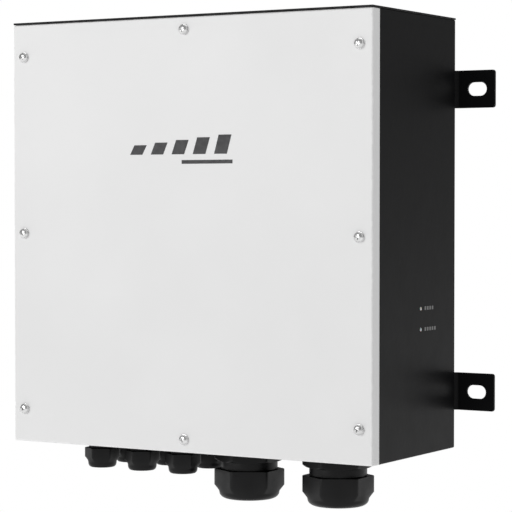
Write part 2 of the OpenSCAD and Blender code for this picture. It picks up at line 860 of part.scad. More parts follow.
module board_screws() {
    color([0.8, 0.8, 0.78]) {
        for (p = board_corners()) translate([p.x, plate_y - board_face, p.y]) pan_screw(1.5, 5, 2.8, 2);
        for (z = lamp_screws()) translate([lamp_board_x, lamp_y, z])
            rotate([0, 0, -90]) pan_screw(1.5, 5, 2.8, 2);
    }
}

module board_relays() {
    color([0.15, 0.3, 0.6]) for (i = [0:1]) for (k = [0:2])
        on_plate([100 + i * 24, 62 + k * 33], [119 + i * 24, 91 + k * 33], board_face, board_face + 16);
}

module board_capacitors() {
    color([0.1, 0.12, 0.2]) for (k = [0:2])
        translate([94, plate_y - board_face, 22 - k * 16]) rod_y(6.5, 26);
}

// A wound transformer: a ferrite frame around its bobbin
module board_transformer() {
    translate([126, plate_y - board_face, 14]) {
        color([0.25, 0.25, 0.26]) difference() {
            block([-17, -26, -15], [17, -3, 15]);
            block([-12, -27, -16], [12, -2, -9]);
            block([-12, -27, 9], [12, -2, 16]);
        }
        color([0.85, 0.7, 0.2]) for (z = [-1, 1]) block([-11.5, -24, z * 12 - 2.8], [11.5, 0, z * 12 + 2.8]);
    }
}

// Height of the k-th plug-in terminal, level with a gap in the duct
function plug_z(k) = comb_z(3 + 3 * k);

// Plug-in terminals along the board's left edge, and the small lamp plug at its lower right
module board_plugs() {
    color([0.2, 0.5, 0.25]) {
        for (k = [0:3])
            on_plate([plug_x, plug_z(k) - 13], [plug_x + 12, plug_z(k) + 13], board_face, board_face + 13);
        on_plate([lamp_plug.x - 10, lamp_plug.y - 4], [lamp_plug.x, lamp_plug.y + 4],
                 board_face, board_face + 7);
    }
}

// ---------- wire duct ----------

// Middle height of a gap between the duct's fingers
function comb_z(i) = duct_low.y + 8 + i * comb_pitch;

module wire_duct() {
    wall = 1.5;
    last = floor((duct_high.y - duct_low.y) / comb_pitch) - 1;
    color([0.6, 0.61, 0.62]) difference() {
        on_plate(duct_low, duct_high, 0, duct_deep - 1.6);
        on_plate([duct_low.x + wall, duct_low.y - 1], [duct_high.x - wall, duct_high.y + 1], wall, duct_deep);
        for (i = [0:last])
            on_plate([duct_low.x - 1, comb_z(i) - comb_gap / 2], [duct_high.x + 1, comb_z(i) + comb_gap / 2],
                     14, duct_deep);
    }
}

module duct_cover() {
    color([0.66, 0.67, 0.68])
        on_plate([duct_low.x, duct_low.y], [duct_high.x, duct_high.y], duct_deep - 1.5, duct_deep);
}

// ---------- wiring ----------

// Height at which a wire enters a terminal from above
function terminal_top() = terminal_z + terminal_h / 2 - entry + 0.6;

// The i-th terminal from the left in either group, where a wire enters it
function small_entry(i) =
    at(terminal_mid(small_terminal_x, small_terminal_w, i), terminal_entry_deep, terminal_top());
function large_entry(i) =
    at(terminal_mid(large_terminal_x, large_terminal_w, i), terminal_entry_deep, terminal_top());

// Four wires from a breaker down to the contactor under it
module feed_wires(breaker_x, target_x) {
    breaker_low = breaker_z - breaker_h / 2 + entry;
    contactor_high = contactor_z + breaker_h / 2 - entry;
    for (i = [0:3])
        drop_wire(at(pole_x(breaker_x, i), breaker_entry_deep, breaker_low),
                  at(pole_x(target_x, i), contactor_entry_deep, contactor_high), wire_d);
}

module power_wires() {
    contactor_low = contactor_z - breaker_h / 2 + entry;
    color([0.25, 0.16, 0.1]) {
        feed_wires(residual_x, contactor_x[0]);
        feed_wires(line_x, contactor_x[1]);
        for (i = [0:3]) {
            drop_wire(at(pole_x(contactor_x[0], i), contactor_entry_deep, contactor_low),
                      small_entry(i), wire_d);
            drop_wire(at(pole_x(contactor_x[1], i), contactor_entry_deep, contactor_low),
                      large_entry(i), wire_d);
        }
    }
}

// A signal wire from a small terminal, behind the power wires, up the duct to the k-th plug
module signal_wire(k) {
    start = small_entry(8 + k);
    run_z = -38 - 3 * k;
    up_x = duct_low.x + 7 + 4 * k;
    wire([start, start + [0, 0, 8], at(start.x + 4, near_plate, run_z), at(up_x, near_plate, run_z),
          at(up_x, near_plate, plug_z(k) - 14), at(up_x, plug_entry_deep, plug_z(k)),
          at(plug_x, plug_entry_deep, plug_z(k))], thin_d, 8);
}

// The lamp board's lead, along the side of the box to its plug on the control board
module lamp_lead() {
    start = [lamp_board_x, lamp_y, lamp_z - 9.5];
    plug_deep = board_face + 3.5;
    wire([start, start - [16, 0, 0], at(168, 30, -30), at(170, plug_deep, lamp_plug.y),
          at(lamp_plug.x, plug_deep, lamp_plug.y)], lamp_lead_d, 10);
}

module control_wires() {
    color([0.5, 0.1, 0.1]) {
        for (k = [0:3]) signal_wire(k);
        lamp_lead();
    }
}

// Earth wires from the bar to two of the large terminals
module earth_wires() {
    bar_mid = (earth_deep[0] + earth_deep[1]) / 2;
    color([0.35, 0.6, 0.15]) for (i = [0, 1])
        drop_wire(at(earth_low.x + 18 + 10 * i, bar_mid, earth_low.y), large_entry(5 + i), earth_wire_d);
}

body_shell();
rain_hood();
front_frame();
clinch_nuts();
front_cover();
cover_gasket();
cover_screws();
screw_washers();
front_mark();
upper_wall_strap();
lower_wall_strap();
strap_screws();
large_gland_bodies();
small_gland_bodies();
gland_seals();
gland_lock_nuts();
gland_inserts();
large_dome_nut(0);  // large_dome_nut_1
large_dome_nut(1);  // large_dome_nut_2
small_dome_nut(0);  // small_dome_nut_1
small_dome_nut(1);  // small_dome_nut_2
small_dome_nut(2);  // small_dome_nut_3
small_dome_nut(3);  // small_dome_nut_4
small_dome_nut(4);  // small_dome_nut_5
small_dome_nut(5);  // small_dome_nut_6
status_marks();
light_pipes();
lamp_board();
mounting_plate();
hex_spacers();
plate_nuts();
din_rails();
residual_breaker();
residual_toggle();
test_button();
line_breaker();
line_toggle();
control_breaker();
control_toggle();
contactor_bases();
contactor_cores();
contactor_coils();
contactor_covers();
contactor_carrier(0);  // contactor_carrier_1
contactor_carrier(1);  // contactor_carrier_2
field_terminals();
terminal_screws();
earth_bar();
earth_bar_screws();
control_board();
board_screws();
board_relays();
board_capacitors();
board_transformer();
board_plugs();
wire_duct();
duct_cover();
power_wires();
control_wires();
earth_wires();
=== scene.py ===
"""The looks of a wall-mounted switching box for a solar inverter system.

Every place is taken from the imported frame. Lengths are in metres, and MM turns millimetres into
metres. The wall is the plane y = 0, the cover faces -y, and z points up.
"""

import json
import math
import random

import bmesh
import bpy
from mathutils import Matrix, Vector


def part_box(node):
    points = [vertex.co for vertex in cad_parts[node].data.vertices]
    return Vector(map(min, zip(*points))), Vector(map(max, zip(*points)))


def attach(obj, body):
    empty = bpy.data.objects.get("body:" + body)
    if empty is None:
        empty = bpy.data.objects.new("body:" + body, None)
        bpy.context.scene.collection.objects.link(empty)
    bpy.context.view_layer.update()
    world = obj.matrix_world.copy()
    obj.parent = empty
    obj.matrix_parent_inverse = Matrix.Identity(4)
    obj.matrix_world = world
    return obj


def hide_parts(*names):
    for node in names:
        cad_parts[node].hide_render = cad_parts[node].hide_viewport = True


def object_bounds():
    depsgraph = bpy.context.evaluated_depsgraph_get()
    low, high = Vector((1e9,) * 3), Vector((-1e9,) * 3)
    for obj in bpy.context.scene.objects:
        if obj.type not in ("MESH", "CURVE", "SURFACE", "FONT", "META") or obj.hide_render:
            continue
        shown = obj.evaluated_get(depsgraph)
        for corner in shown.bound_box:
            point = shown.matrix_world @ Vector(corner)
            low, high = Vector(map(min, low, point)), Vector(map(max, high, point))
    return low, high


MM = 0.001
WELD = 0.002 * MM
FORWARD = Vector((0, -1, 0))
DOWN = Vector((0, 0, -1))
SIDEWAYS = Vector((1, 0, 0))
# A hexagon's corners are turned off at this share of its width across flats
CORNER = 0.573

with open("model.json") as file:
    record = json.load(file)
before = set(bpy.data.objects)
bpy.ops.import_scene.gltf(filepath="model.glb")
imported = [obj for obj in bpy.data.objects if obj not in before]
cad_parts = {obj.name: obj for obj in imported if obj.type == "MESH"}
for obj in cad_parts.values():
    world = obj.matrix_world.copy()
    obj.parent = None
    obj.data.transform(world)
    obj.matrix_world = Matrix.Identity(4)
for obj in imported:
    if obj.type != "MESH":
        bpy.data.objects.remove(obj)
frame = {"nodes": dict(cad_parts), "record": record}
cad_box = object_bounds()
chance = random.Random(7)


# ---------- places ----------


def welded(node):
    """A CAD node's mesh with its split corners joined and its flat faces whole."""
    bm = bmesh.new()
    bm.from_mesh(frame["nodes"][node].data)
    bmesh.ops.remove_doubles(bm, verts=bm.verts, dist=WELD)
    bmesh.ops.dissolve_limit(bm, angle_limit=math.radians(0.5), verts=bm.verts, edges=bm.edges)
    return bm


def islands(bm):
    """The separate solids in a mesh, each as a list of its faces."""
    left = set(bm.faces)
    found = []
    while left:
        start = left.pop()
        group = [start]
        for face in group:
            for edge in face.edges:
                for other in edge.link_faces:
                    if other in left:
                        left.discard(other)
                        group.append(other)
        found.append(group)
    return found


def corners(faces):
    """Lowest and highest corner of some faces."""
    points = [v.co for face in faces for v in face.verts]
    low = Vector(min(p[i] for p in points) for i in range(3))
    high = Vector(max(p[i] for p in points) for i in range(3))
    return low, high


def solids(node):
    """Lowest and highest corner of each separate solid in a CAD node, from left to right."""
    bm = welded(node)
    found = [corners(group) for group in islands(bm)]
    bm.free()
    return sorted(found, key=lambda box: (round(box[0].x, 5), round(box[0].z, 5), box[0].y))


def middle(box):
    return (box[0] + box[1]) / 2


def back_of(box):
    """Middle of the rear face of a box."""
    spot = middle(box)
    spot.y = box[1].y
    return spot


# ---------- materials ----------


class Paint:
    """A material's nodes. Places are object coordinates, so a texture's scale is per metre."""

    def __init__(self, name):
        self.material = bpy.data.materials.new(name)
        self.material.use_nodes = True
        self.tree = self.material.node_tree
        self.shader = self.tree.nodes["Principled BSDF"]
        self.place = self.node("ShaderNodeTexCoord").outputs["Object"]

    def node(self, kind, values=None, **settings):
        """A new node, with values for its inputs by name, and settings of its own."""
        made = self.tree.nodes.new(kind)
        for key, value in settings.items():
            setattr(made, key, value)
        for key, value in (values or {}).items():
            made.inputs[key].default_value = value
        return made

    def join(self, source, socket):
        self.tree.links.new(source, socket)

    def texture(self, output, place, kind, values, **settings):
        """The output of a node that is read at a place."""
        made = self.node(kind, values, **settings)
        self.join(place or self.place, made.inputs["Vector"])
        return made.outputs[output]

    def stretched(self, factors):
        """The place, scaled by a factor along each axis."""
        return self.texture("Vector", None, "ShaderNodeMapping", {"Scale": factors})

    def noise(self, scale, detail=3.0, place=None):
        return self.texture("Fac", place, "ShaderNodeTexNoise", {"Scale": scale, "Detail": detail})

    def cells(self, scale, output="Distance"):
        """The distance to the middle of each cell, or with Color a level that is even in each cell."""
        return self.texture(output, None, "ShaderNodeTexVoronoi", {"Scale": scale})

    def bands(self, scale, distortion=0.0):
        """Stripes across x."""
        return self.texture("Fac", None, "ShaderNodeTexWave", {"Scale": scale, "Distortion": distortion},
                            wave_type="BANDS", bands_direction="X")

    def ramp(self, value, start, end, low, high):
        """The value, mapped from the range start..end to the range low..high."""
        limits = {"From Min": start, "From Max": end, "To Min": low, "To Max": high}
        made = self.node("ShaderNodeMapRange", limits)
        self.join(value, made.inputs["Value"])
        return made.outputs["Result"]

    def clouds(self, scale, low, high):
        """Soft noise between two levels, for slow changes of colour or gloss."""
        return self.ramp(self.noise(scale), 0.3, 0.7, low, high)

    def mix(self, factor, first, second):
        """A blend of two colours, each a colour or another node's output."""
        made = self.node("ShaderNodeMix", data_type="RGBA")
        self.join(factor, made.inputs["Factor"])
        for socket, colour in ((made.inputs[6], first), (made.inputs[7], second)):
            if isinstance(colour, tuple):
                socket.default_value = (*colour, 1.0)
            else:
                self.join(colour, socket)
        return made.outputs[2]

    def product(self, first, second):
        made = self.node("ShaderNodeMath", operation="MULTIPLY")
        self.join(first, made.inputs[0])
        self.join(second, made.inputs[1])
        return made.outputs[0]

    def wear_and_sheen(self, most):
        """A level up to most on the rounded edges of a piece, broken up by noise, and 0 elsewhere."""
        # Rounded-edge mask: lightens paint and metal as rubbed wear, and lightens moulded plastic as a
        # painted sheen with some wear
        edge = self.node("ShaderNodeAttribute", attribute_name="wear_and_sheen").outputs["Fac"]
        patches = self.ramp(self.noise(160.0), 0.42, 0.62, 0.0, 1.0)
        return self.ramp(self.product(edge, patches), 0.0, 1.0, 0.0, most)

    def bump(self, height, depth, under=None):
        """A relief with its depth in millimetres, which may lie over another one."""
        made = self.node("ShaderNodeBump", {"Distance": depth * MM})
        self.join(height, made.inputs["Height"])
        if under is not None:
            self.join(under, made.inputs["Normal"])
        return made.outputs["Normal"]

    def grain(self, scale, depth, detail=3.0, under=None):
        """A relief of fine noise."""
        return self.bump(self.noise(scale, detail), depth, under)

    def finish(self, colour, roughness, normal, metallic=0.0, specular=0.5):
        self.join(colour, self.shader.inputs["Base Color"])
        self.join(roughness, self.shader.inputs["Roughness"])
        self.join(normal, self.shader.inputs["Normal"])
        self.shader.inputs["Metallic"].default_value = metallic
        self.shader.inputs["Specular IOR Level"].default_value = specular
        return self.material


def shade(colour, factor):
    return tuple(min(1.0, channel * factor) for channel in colour)


def faded(colour, level, share):
    """A colour moved some share of the way to a grey level."""
    return tuple(channel + (level - channel) * share for channel in colour)


def powder_coat(name, colour, rubbed, roughness, specular):
    """Baked powder paint on sheet steel: fine orange peel, faint clouds and rubbed edges."""
    paint = Paint(name)
    coat = paint.mix(paint.clouds(9.0, 0.0, 1.0), shade(colour, 0.985), shade(colour, 1.015))
    body = paint.mix(paint.wear_and_sheen(0.5), coat, rubbed)
    rough = paint.clouds(45.0, roughness - 0.02, roughness + 0.02)
    peel = paint.grain(160.0, 0.05, 1.0, paint.grain(900.0, 0.02, 2.0))
    return paint.finish(body, rough, peel, 0.0, specular)


def moulded(name, colour, roughness=0.45, grain=1500.0, depth=0.015, specular=0.5):
    """Moulded plastic with an eroded mould grain, and edges made slightly lighter by a painted sheen and some
    wear.
    """
    paint = Paint(name)
    flow = paint.mix(paint.clouds(22.0, 0.0, 1.0), shade(colour, 0.93), shade(colour, 1.07))
    # Painted sheen: the rounded edges are lightened towards grey, partly as wear
    body = paint.mix(paint.wear_and_sheen(0.35), flow, faded(colour, 0.8, 0.18))
    rough = paint.clouds(70.0, roughness - 0.05, roughness + 0.05)
    return paint.finish(body, rough, paint.grain(grain, depth, 2.0), 0.0, specular)


def brushed(name, colour, roughness=0.32, along=(40.0, 1.0, 1.0), scale=260.0):
    """Rolled or plated metal: fine lines one way, spangle clouds and bright rubbed edges."""
    paint = Paint(name)
    lines = paint.noise(scale, 4.0, paint.stretched(tuple(1.0 / a for a in along)))
    spangle = paint.ramp(paint.cells(220.0, "Color"), 0.1, 0.9, 0.0, 1.0)
    plate = paint.mix(spangle, shade(colour, 0.9), shade(colour, 1.08))
    body = paint.mix(paint.wear_and_sheen(0.6), plate, shade(colour, 1.25))
    rough = paint.ramp(lines, 0.25, 0.75, roughness - 0.08, roughness + 0.1)
    return paint.finish(body, rough, paint.bump(lines, 0.01), 1.0)


def rubber(name, colour):
    """Matte rubber with a dusty bloom and a fine grain."""
    paint = Paint(name)
    bloom = paint.ramp(paint.noise(60.0, 5.0), 0.45, 0.75, 0.0, 1.0)
    body = paint.mix(bloom, colour, tuple(channel + 0.02 for channel in colour))
    return paint.finish(body, paint.clouds(200.0, 0.65, 0.85), paint.grain(1200.0, 0.03), 0.0, 0.3)


def foam(name, colour):
    """Closed-cell foam with small open pores on its cut faces, darkened inside the pores by painted shade."""
    paint = Paint(name)
    pores_with_painted_shade = paint.ramp(paint.cells(1300.0), 0.1, 0.45, 0.0, 1.0)
    # Painted shade: the pores are darkened to 0.4 of the foam's colour
    body = paint.mix(pores_with_painted_shade, shade(colour, 0.4), shade(colour, 1.2))
    rough = paint.ramp(pores_with_painted_shade, 0.0, 1.0, 0.95, 0.8)
    return paint.finish(body, rough, paint.bump(pores_with_painted_shade, 0.25), 0.0, 0.2)


def ink(name, colour):
    """Screen-printed ink: an even film with pinholes and a slightly dry edge."""
    paint = Paint(name)
    pinholes = paint.ramp(paint.cells(900.0), 0.02, 0.1, 1.0, 0.0)
    body = paint.mix(pinholes, colour, faded(colour, 0.5, 0.4))
    return paint.finish(body, paint.clouds(300.0, 0.4, 0.55), paint.grain(1800.0, 0.01))


def lens(name, colour):
    """Frosted clear plastic of a light pipe, milky towards its middle."""
    paint = Paint(name)
    body = paint.mix(paint.clouds(700.0, 0.0, 1.0), shade(colour, 0.88), colour)
    paint.shader.inputs["Transmission Weight"].default_value = 0.35
    paint.shader.inputs["Subsurface Weight"].default_value = 0.3
    paint.shader.inputs["Subsurface Scale"].default_value = 1.0 * MM
    return paint.finish(body, paint.clouds(1500.0, 0.12, 0.28), paint.grain(2500.0, 0.005))


def circuit_board(name, colour):
    """Solder mask over copper: darker glass weave, lighter flooded areas and a glossy lacquer."""
    paint = Paint(name)
    flood = paint.ramp(paint.noise(38.0, 0.0), 0.49, 0.51, 0.0, 1.0)
    weave = paint.ramp(paint.cells(520.0), 0.2, 0.8, 0.0, 0.25)
    body = paint.mix(weave, paint.mix(flood, colour, shade(colour, 1.35)), shade(colour, 0.6))
    relief = paint.grain(900.0, 0.01, under=paint.bump(flood, 0.03))
    return paint.finish(body, paint.clouds(120.0, 0.22, 0.34), relief)


def laminated(name, colour):
    """Stacked iron sheets: thin dark lines between bright edges."""
    paint = Paint(name)
    sheets = paint.ramp(paint.bands(600.0, 0.4), 0.1, 0.6, 0.0, 1.0)
    body = paint.mix(sheets, shade(colour, 0.35), colour)
    return paint.finish(body, paint.clouds(200.0, 0.35, 0.55), paint.bump(sheets, 0.05), 0.8)


def striped_wire(name, first, second):
    """Earth wire insulation, green with yellow stripes along it."""
    paint = Paint(name)
    stripe = paint.ramp(paint.bands(95.0), 0.62, 0.66, 0.0, 1.0)
    return paint.finish(paint.mix(stripe, first, second), paint.clouds(90.0, 0.28, 0.4),
                        paint.grain(700.0, 0.01))


BLACK_PAINT = powder_coat("black_powder_coat", (0.0052, 0.0052, 0.0056), (0.05, 0.05, 0.052), 0.4, 0.1)
GREY_PAINT = powder_coat("light_powder_coat", (0.76, 0.76, 0.76), (0.86, 0.86, 0.86), 0.48, 0.35)
ZINC = brushed("zinc_plate", (0.56, 0.57, 0.58), 0.4, (1.0, 1.0, 40.0), 900.0)
BRIGHT = brushed("bright_zinc", (0.72, 0.72, 0.72), 0.26, (1.0, 1.0, 1.0), 900.0)
BRASS = brushed("drawn_brass", (0.66, 0.47, 0.2), 0.3)
IRON = laminated("laminated_iron", (0.34, 0.34, 0.35))
COIL = brushed("enamelled_wire", (0.62, 0.24, 0.09), 0.26, (1.0, 1.0, 1.0), 700.0)
NYLON = moulded("black_nylon", (0.006, 0.006, 0.0063), 0.4, 1100.0, 0.02, 0.18)
RUBBER = rubber("black_rubber", (0.012, 0.012, 0.012))
FOAM = foam("gasket_foam", (0.03, 0.03, 0.032))
DARK_INK = ink("dark_ink", (0.012, 0.012, 0.014))
GREY_INK = ink("grey_ink", (0.17, 0.17, 0.17))
WHITE_INK = ink("white_ink", (0.78, 0.78, 0.76))
LENS = lens("frosted_lens", (0.86, 0.88, 0.87))
BOARD = circuit_board("solder_mask", (0.012, 0.085, 0.032))
TRACK = moulded("covered_track", (0.03, 0.16, 0.06), 0.3, 900.0, 0.01)
DEVICE = moulded("device_housing", (0.66, 0.66, 0.63), 0.42)
DARK_DEVICE = moulded("dark_housing", (0.028, 0.029, 0.032), 0.4)
BLUE = moulded("blue_lever", (0.02, 0.06, 0.3), 0.34)
YELLOW = moulded("yellow_key", (0.78, 0.46, 0.03), 0.36)
GREEN = moulded("green_carrier", (0.04, 0.2, 0.08), 0.42)
TERMINAL = moulded("grey_terminal", (0.2, 0.21, 0.22), 0.45)
BLUE_TERMINAL = moulded("blue_terminal", (0.02, 0.1, 0.4), 0.45)
EARTH_TERMINAL = moulded("earth_terminal", (0.18, 0.42, 0.03), 0.45)
RELAY = moulded("relay_case", (0.03, 0.1, 0.38), 0.32)
SLEEVE = moulded("capacitor_sleeve", (0.015, 0.02, 0.05), 0.25)
FERRITE = moulded("ground_ferrite", (0.05, 0.05, 0.054), 0.6, 2200.0, 0.04)
TAPE = moulded("winding_tape", (0.72, 0.5, 0.06), 0.35)
PLUG = moulded("green_plug", (0.02, 0.23, 0.06), 0.4)
DUCT = moulded("duct_plastic", (0.3, 0.31, 0.32), 0.5)
CHIP = moulded("chip_resin", (0.012, 0.012, 0.013), 0.5, 2600.0, 0.02)
LABEL = moulded("label_film", (0.8, 0.8, 0.78), 0.5, 2600.0, 0.005)
SIGNAL_RED = moulded("red_flag", (0.5, 0.02, 0.015), 0.35)
SIGNAL_GREEN = moulded("green_flag", (0.03, 0.35, 0.07), 0.35)
WIRE_BROWN = moulded("brown_wire", (0.075, 0.028, 0.012), 0.34, 800.0, 0.01)
WIRE_BLACK = moulded("black_wire", (0.012, 0.012, 0.013), 0.34, 800.0, 0.01)
WIRE_GREY = moulded("grey_wire", (0.22, 0.22, 0.23), 0.34, 800.0, 0.01)
WIRE_BLUE = moulded("blue_wire", (0.015, 0.09, 0.4), 0.34, 800.0, 0.01)
WIRE_RED = moulded("red_wire", (0.4, 0.02, 0.015), 0.34, 800.0, 0.01)
WIRE_EARTH = striped_wire("earth_wire", (0.05, 0.26, 0.03), (0.72, 0.6, 0.04))


# ---------- mesh work ----------


class Shape:
    """A mesh being built. What is added next takes the material with index paint."""

    def __init__(self, bm=None):
        self.bm = bm or bmesh.new()
        # Face layer that marks rounded edges, for wear and for a painted sheen on moulded plastic
        self.worn_and_sheened = self.bm.faces.layers.float.get("wear_and_sheen") or self.bm.faces.layers.float.new("wear_and_sheen")
        self.paint = 0

    def loft(self, rings, caps=(True, True), worn_and_sheened=(), around=False):
        """A skin through rings of points, which joins its first ring again if around is true.
        worn_and_sheened holds the numbers of the gaps that count as edges, for wear and a painted sheen."""
        made = [[self.bm.verts.new(p) for p in ring] for ring in rings]
        if around:
            made.append(made[0])
            caps = (False, False)
        for number, (near, far) in enumerate(zip(made, made[1:])):
            for i in range(len(near)):
                j = (i + 1) % len(near)
                face = self.bm.faces.new((near[i], near[j], far[j], far[i]))
                face.material_index = self.paint
                face[self.worn_and_sheened] = 1.0 if number in worn_and_sheened else 0.0
        for ring, wanted in ((made[0], caps[0]), (made[-1], caps[1])):
            if wanted:
                self.bm.faces.new(ring).material_index = self.paint

    def block(self, low, high, edge=0.0, steps=2):
        """A box between two corners, with rounded edges."""
        low, high = Vector(low), Vector(high)
        matrix = Matrix.LocRotScale((low + high) / 2, None, high - low)
        made = bmesh.ops.create_cube(self.bm, size=1.0, matrix=matrix)["verts"]
        faces = {face for v in made for face in v.link_faces}
        for face in faces:
            face.material_index = self.paint
        if edge:
            edges = list({e for v in made for e in v.link_edges})
            self.round_off(edges, edge, steps)

    def round_off(self, edges, width, steps, worn_and_sheened=1.0):
        """Rounds some edges and gives the new faces that much of the edge mask, for wear and a painted sheen.
        """
        made = bmesh.ops.bevel(
            self.bm, geom=edges, offset=width, segments=steps, profile=0.5,
            affect="EDGES", clamp_overlap=True, material=-1,
        )
        for face in made["faces"]:
            face[self.worn_and_sheened] = worn_and_sheened

    def turned(self, profile, place=Matrix.Identity(4), sides=32, across=None, around=False):
        """A shape turned round z from (radius, height) points, cut to a hexagon if across is given.
        If around is true the profile is closed, so that the shape has a bore."""
        rings = []
        for radius, height in profile:
            ring = []
            for i in range(sides):
                angle = 2 * math.pi * i / sides
                reach = radius if across is None else min(radius, hexagon_reach(angle, across))
                ring.append(place @ Vector((reach * math.cos(angle), reach * math.sin(angle), height)))
            rings.append(ring)
        self.loft(rings, around=around)

    def add(self, mesh, place):
        """A copy of a finished mesh."""
        before = len(self.bm.verts)
        self.bm.from_mesh(mesh)
        self.bm.verts.ensure_lookup_table()
        for v in self.bm.verts[before:]:
            v.co = place @ v.co

    def mesh(self):
        bmesh.ops.recalc_face_normals(self.bm, faces=self.bm.faces)
        made = bpy.data.meshes.new("shape")
        self.bm.to_mesh(made)
        self.bm.free()
        return made


def hexagon_reach(angle, across):
    """Distance from the middle of a hexagon to its edge, with corners slightly turned off."""
    sixth = math.pi / 3
    from_flat = (angle + sixth / 2) % sixth - sixth / 2
    return min(across / 2 / math.cos(from_flat), across * CORNER)


def carved(solid, tool):
    """One mesh less another."""
    base = bpy.data.objects.new("base", solid)
    cutter = bpy.data.objects.new("cutter", tool)
    for thing in (base, cutter):
        bpy.context.scene.collection.objects.link(thing)
    step = base.modifiers.new("cut", "BOOLEAN")
    step.operation = "DIFFERENCE"
    step.solver = "EXACT"
    step.object = cutter
    step.use_self = True
    bpy.context.view_layer.update()
    ready = base.evaluated_get(bpy.context.evaluated_depsgraph_get())
    made = bpy.data.meshes.new_from_object(ready)
    bpy.data.objects.remove(base)
    bpy.data.objects.remove(cutter)
    return made


def piece(name, mesh, materials, slot, *nodes, body="enclosure", rounds=0):
    """Puts a finished mesh into the scene on a body, in place of the named CAD nodes. rounds is how
    many times it is subdivided."""
    made = bpy.data.objects.new(name, mesh)
    bpy.context.scene.collection.objects.link(made)
    for i, material in enumerate(materials if isinstance(materials, list) else [materials]):
        if i < len(mesh.materials):
            mesh.materials[i] = material
        else:
            mesh.materials.append(material)
    mesh.shade_smooth()
    if rounds:
        smooth = made.modifiers.new("rounder", "SUBSURF")
        smooth.levels = smooth.render_levels = rounds
    else:
        mesh.set_sharp_from_angle(angle=math.radians(50))
        normals = made.modifiers.new("even_shading", "WEIGHTED_NORMAL")
        normals.keep_sharp = True
    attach(made, body)
    if nodes:
        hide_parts(*nodes)
    return made


def softened(name, node, width, materials, body="enclosure", slot=None, choose=None, bend=0.0, steps=2):
    """A CAD node's own shape with rounded edges. choose picks a material for each solid from its box.
    bend is the radius of blunt folds in sheet metal."""
    shape = Shape(welded(node))
    if choose:
        for group in islands(shape.bm):
            index = choose(*corners(group))
            for face in group:
                face.material_index = index
    if bend:
        folds = [e for e in shape.bm.edges if is_turn(e, 15, 60)]
        shape.round_off(folds, bend, 4, 0.0)
    shape.round_off([e for e in shape.bm.edges if is_turn(e, 40, 180)], width, steps)
    used = slot or frame_slot(node)
    return piece(name, shape.mesh(), materials, used, node, body=body)


def is_turn(edge, least, most):
    """True if an edge's two faces turn by an angle in that range, in degrees."""
    if not edge.is_manifold:
        return False
    turn = math.degrees(edge.calc_face_angle())
    return least < turn < most


def frame_slot(node):
    """The record's material slot of a CAD node."""
    return next(s["material_slot"] for s in frame["record"]["subparts"] if s["node"] == node)


def dress(node, *materials):
    """Gives a CAD node that keeps its mesh a better material."""
    slots = frame["nodes"][node].data.materials
    slots.clear()
    for material in materials:
        slots.append(material)


def aimed(spot, direction, spin=0.0):
    """A place whose z axis points in a direction."""
    turn = direction.to_track_quat("Z", "Y").to_matrix().to_4x4()
    return Matrix.Translation(spot) @ turn @ Matrix.Rotation(spin, 4, "Z")


# ---------- screws ----------

M5 = 2.5 * MM
BORE_GAP = 0.05 * MM
COVER_SCREW = {"radius": 4.75 * MM, "height": 3.4 * MM, "shank_radius": M5 - BORE_GAP, "shank": 15.5 * MM}
STRAP_SCREW = {"radius": 4.6 * MM, "height": 2.6 * MM, "shank_radius": M5 - BORE_GAP, "shank": 9.5 * MM}
EARTH_SCREW = {"radius": 3.8 * MM, "height": 3.0 * MM, "shank_radius": 2.0 * MM, "shank": 5.0 * MM}
BOARD_SCREW = {"radius": 2.8 * MM, "height": 2.0 * MM, "shank_radius": 1.5 * MM, "shank": 5.0 * MM}


def pan_screw(radius, height, shank_radius, shank):
    """A pan-head screw that points along z, with its seat at z = 0 and a cross recess."""
    pitch, root, rim = 0.8 * MM, shank_radius * 0.86, height * 0.3
    point = shank_radius * 0.5 - shank
    profile = [(shank_radius * 0.6, -shank), (shank_radius, point)]
    for i in range(int(shank / pitch) - 2):
        start = point + i * pitch
        profile += [(root, start + 0.3 * MM), (shank_radius, start + 0.7 * MM)]
    profile += [(shank_radius, 0.0), (radius * 0.96, 0.0), (radius, rim * 0.3), (radius, rim)]
    for angle in range(12, 90, 13):
        turn = math.radians(angle)
        profile.append((radius * math.cos(turn), rim + (height - rim) * math.sin(turn)))
    shape = Shape()
    shape.turned(profile, sides=32)
    recess = Shape()
    arm = radius * 0.52
    half = radius * 0.11
    for spin in (0.0, math.pi / 2):
        turn = Matrix.Rotation(spin, 4, "Z")
        rings = []
        for reach, wide, z in ((arm * 0.5, half * 0.6, height * 0.35), (arm, half, height * 1.1)):
            flat = [(-reach, -wide, z), (reach, -wide, z), (reach, wide, z), (-reach, wide, z)]
            rings.append([turn @ Vector(p) for p in flat])
        recess.loft(rings)
    return carved(shape.mesh(), recess.mesh())


def screws(name, node, size, seat, body="enclosure"):
    """Screws in place of a CAD node. seat gives a screw's seat and direction from its solid's box."""
    template = pan_screw(**size)
    shape = Shape()
    for box in solids(node):
        spot, direction = seat(box)
        shape.add(template, aimed(spot, direction, chance.uniform(0, math.pi)))
    return piece(name, shape.mesh(), BRIGHT, frame_slot(node), node, body=body)


def seat_forward(size):
    """Seat of a screw that faces the front, behind the front of its head."""
    def seat(box):
        spot = middle(box)
        spot.y = box[0].y + size["height"]
        return spot, FORWARD
    return seat


# ---------- box and cover ----------


def rounded_ring(low, high, inset, radius, y, steps=4):
    """Points round a rectangle with round corners, in the plane at y."""
    r = max(radius - inset, 0.05 * MM)
    centre_x, centre_z = (low.x + high.x) / 2, (low.z + high.z) / 2
    reach_x = (high.x - low.x) / 2 - inset - r
    reach_z = (high.z - low.z) / 2 - inset - r
    points = []
    for quarter, (sx, sz) in enumerate(((1, 1), (-1, 1), (-1, -1), (1, -1))):
        for i in range(steps + 1):
            angle = math.pi / 2 * (quarter + i / steps)
            points.append(Vector((
                centre_x + sx * reach_x + r * math.cos(angle), y,
                centre_z + sz * reach_z + r * math.sin(angle),
            )))
    return points


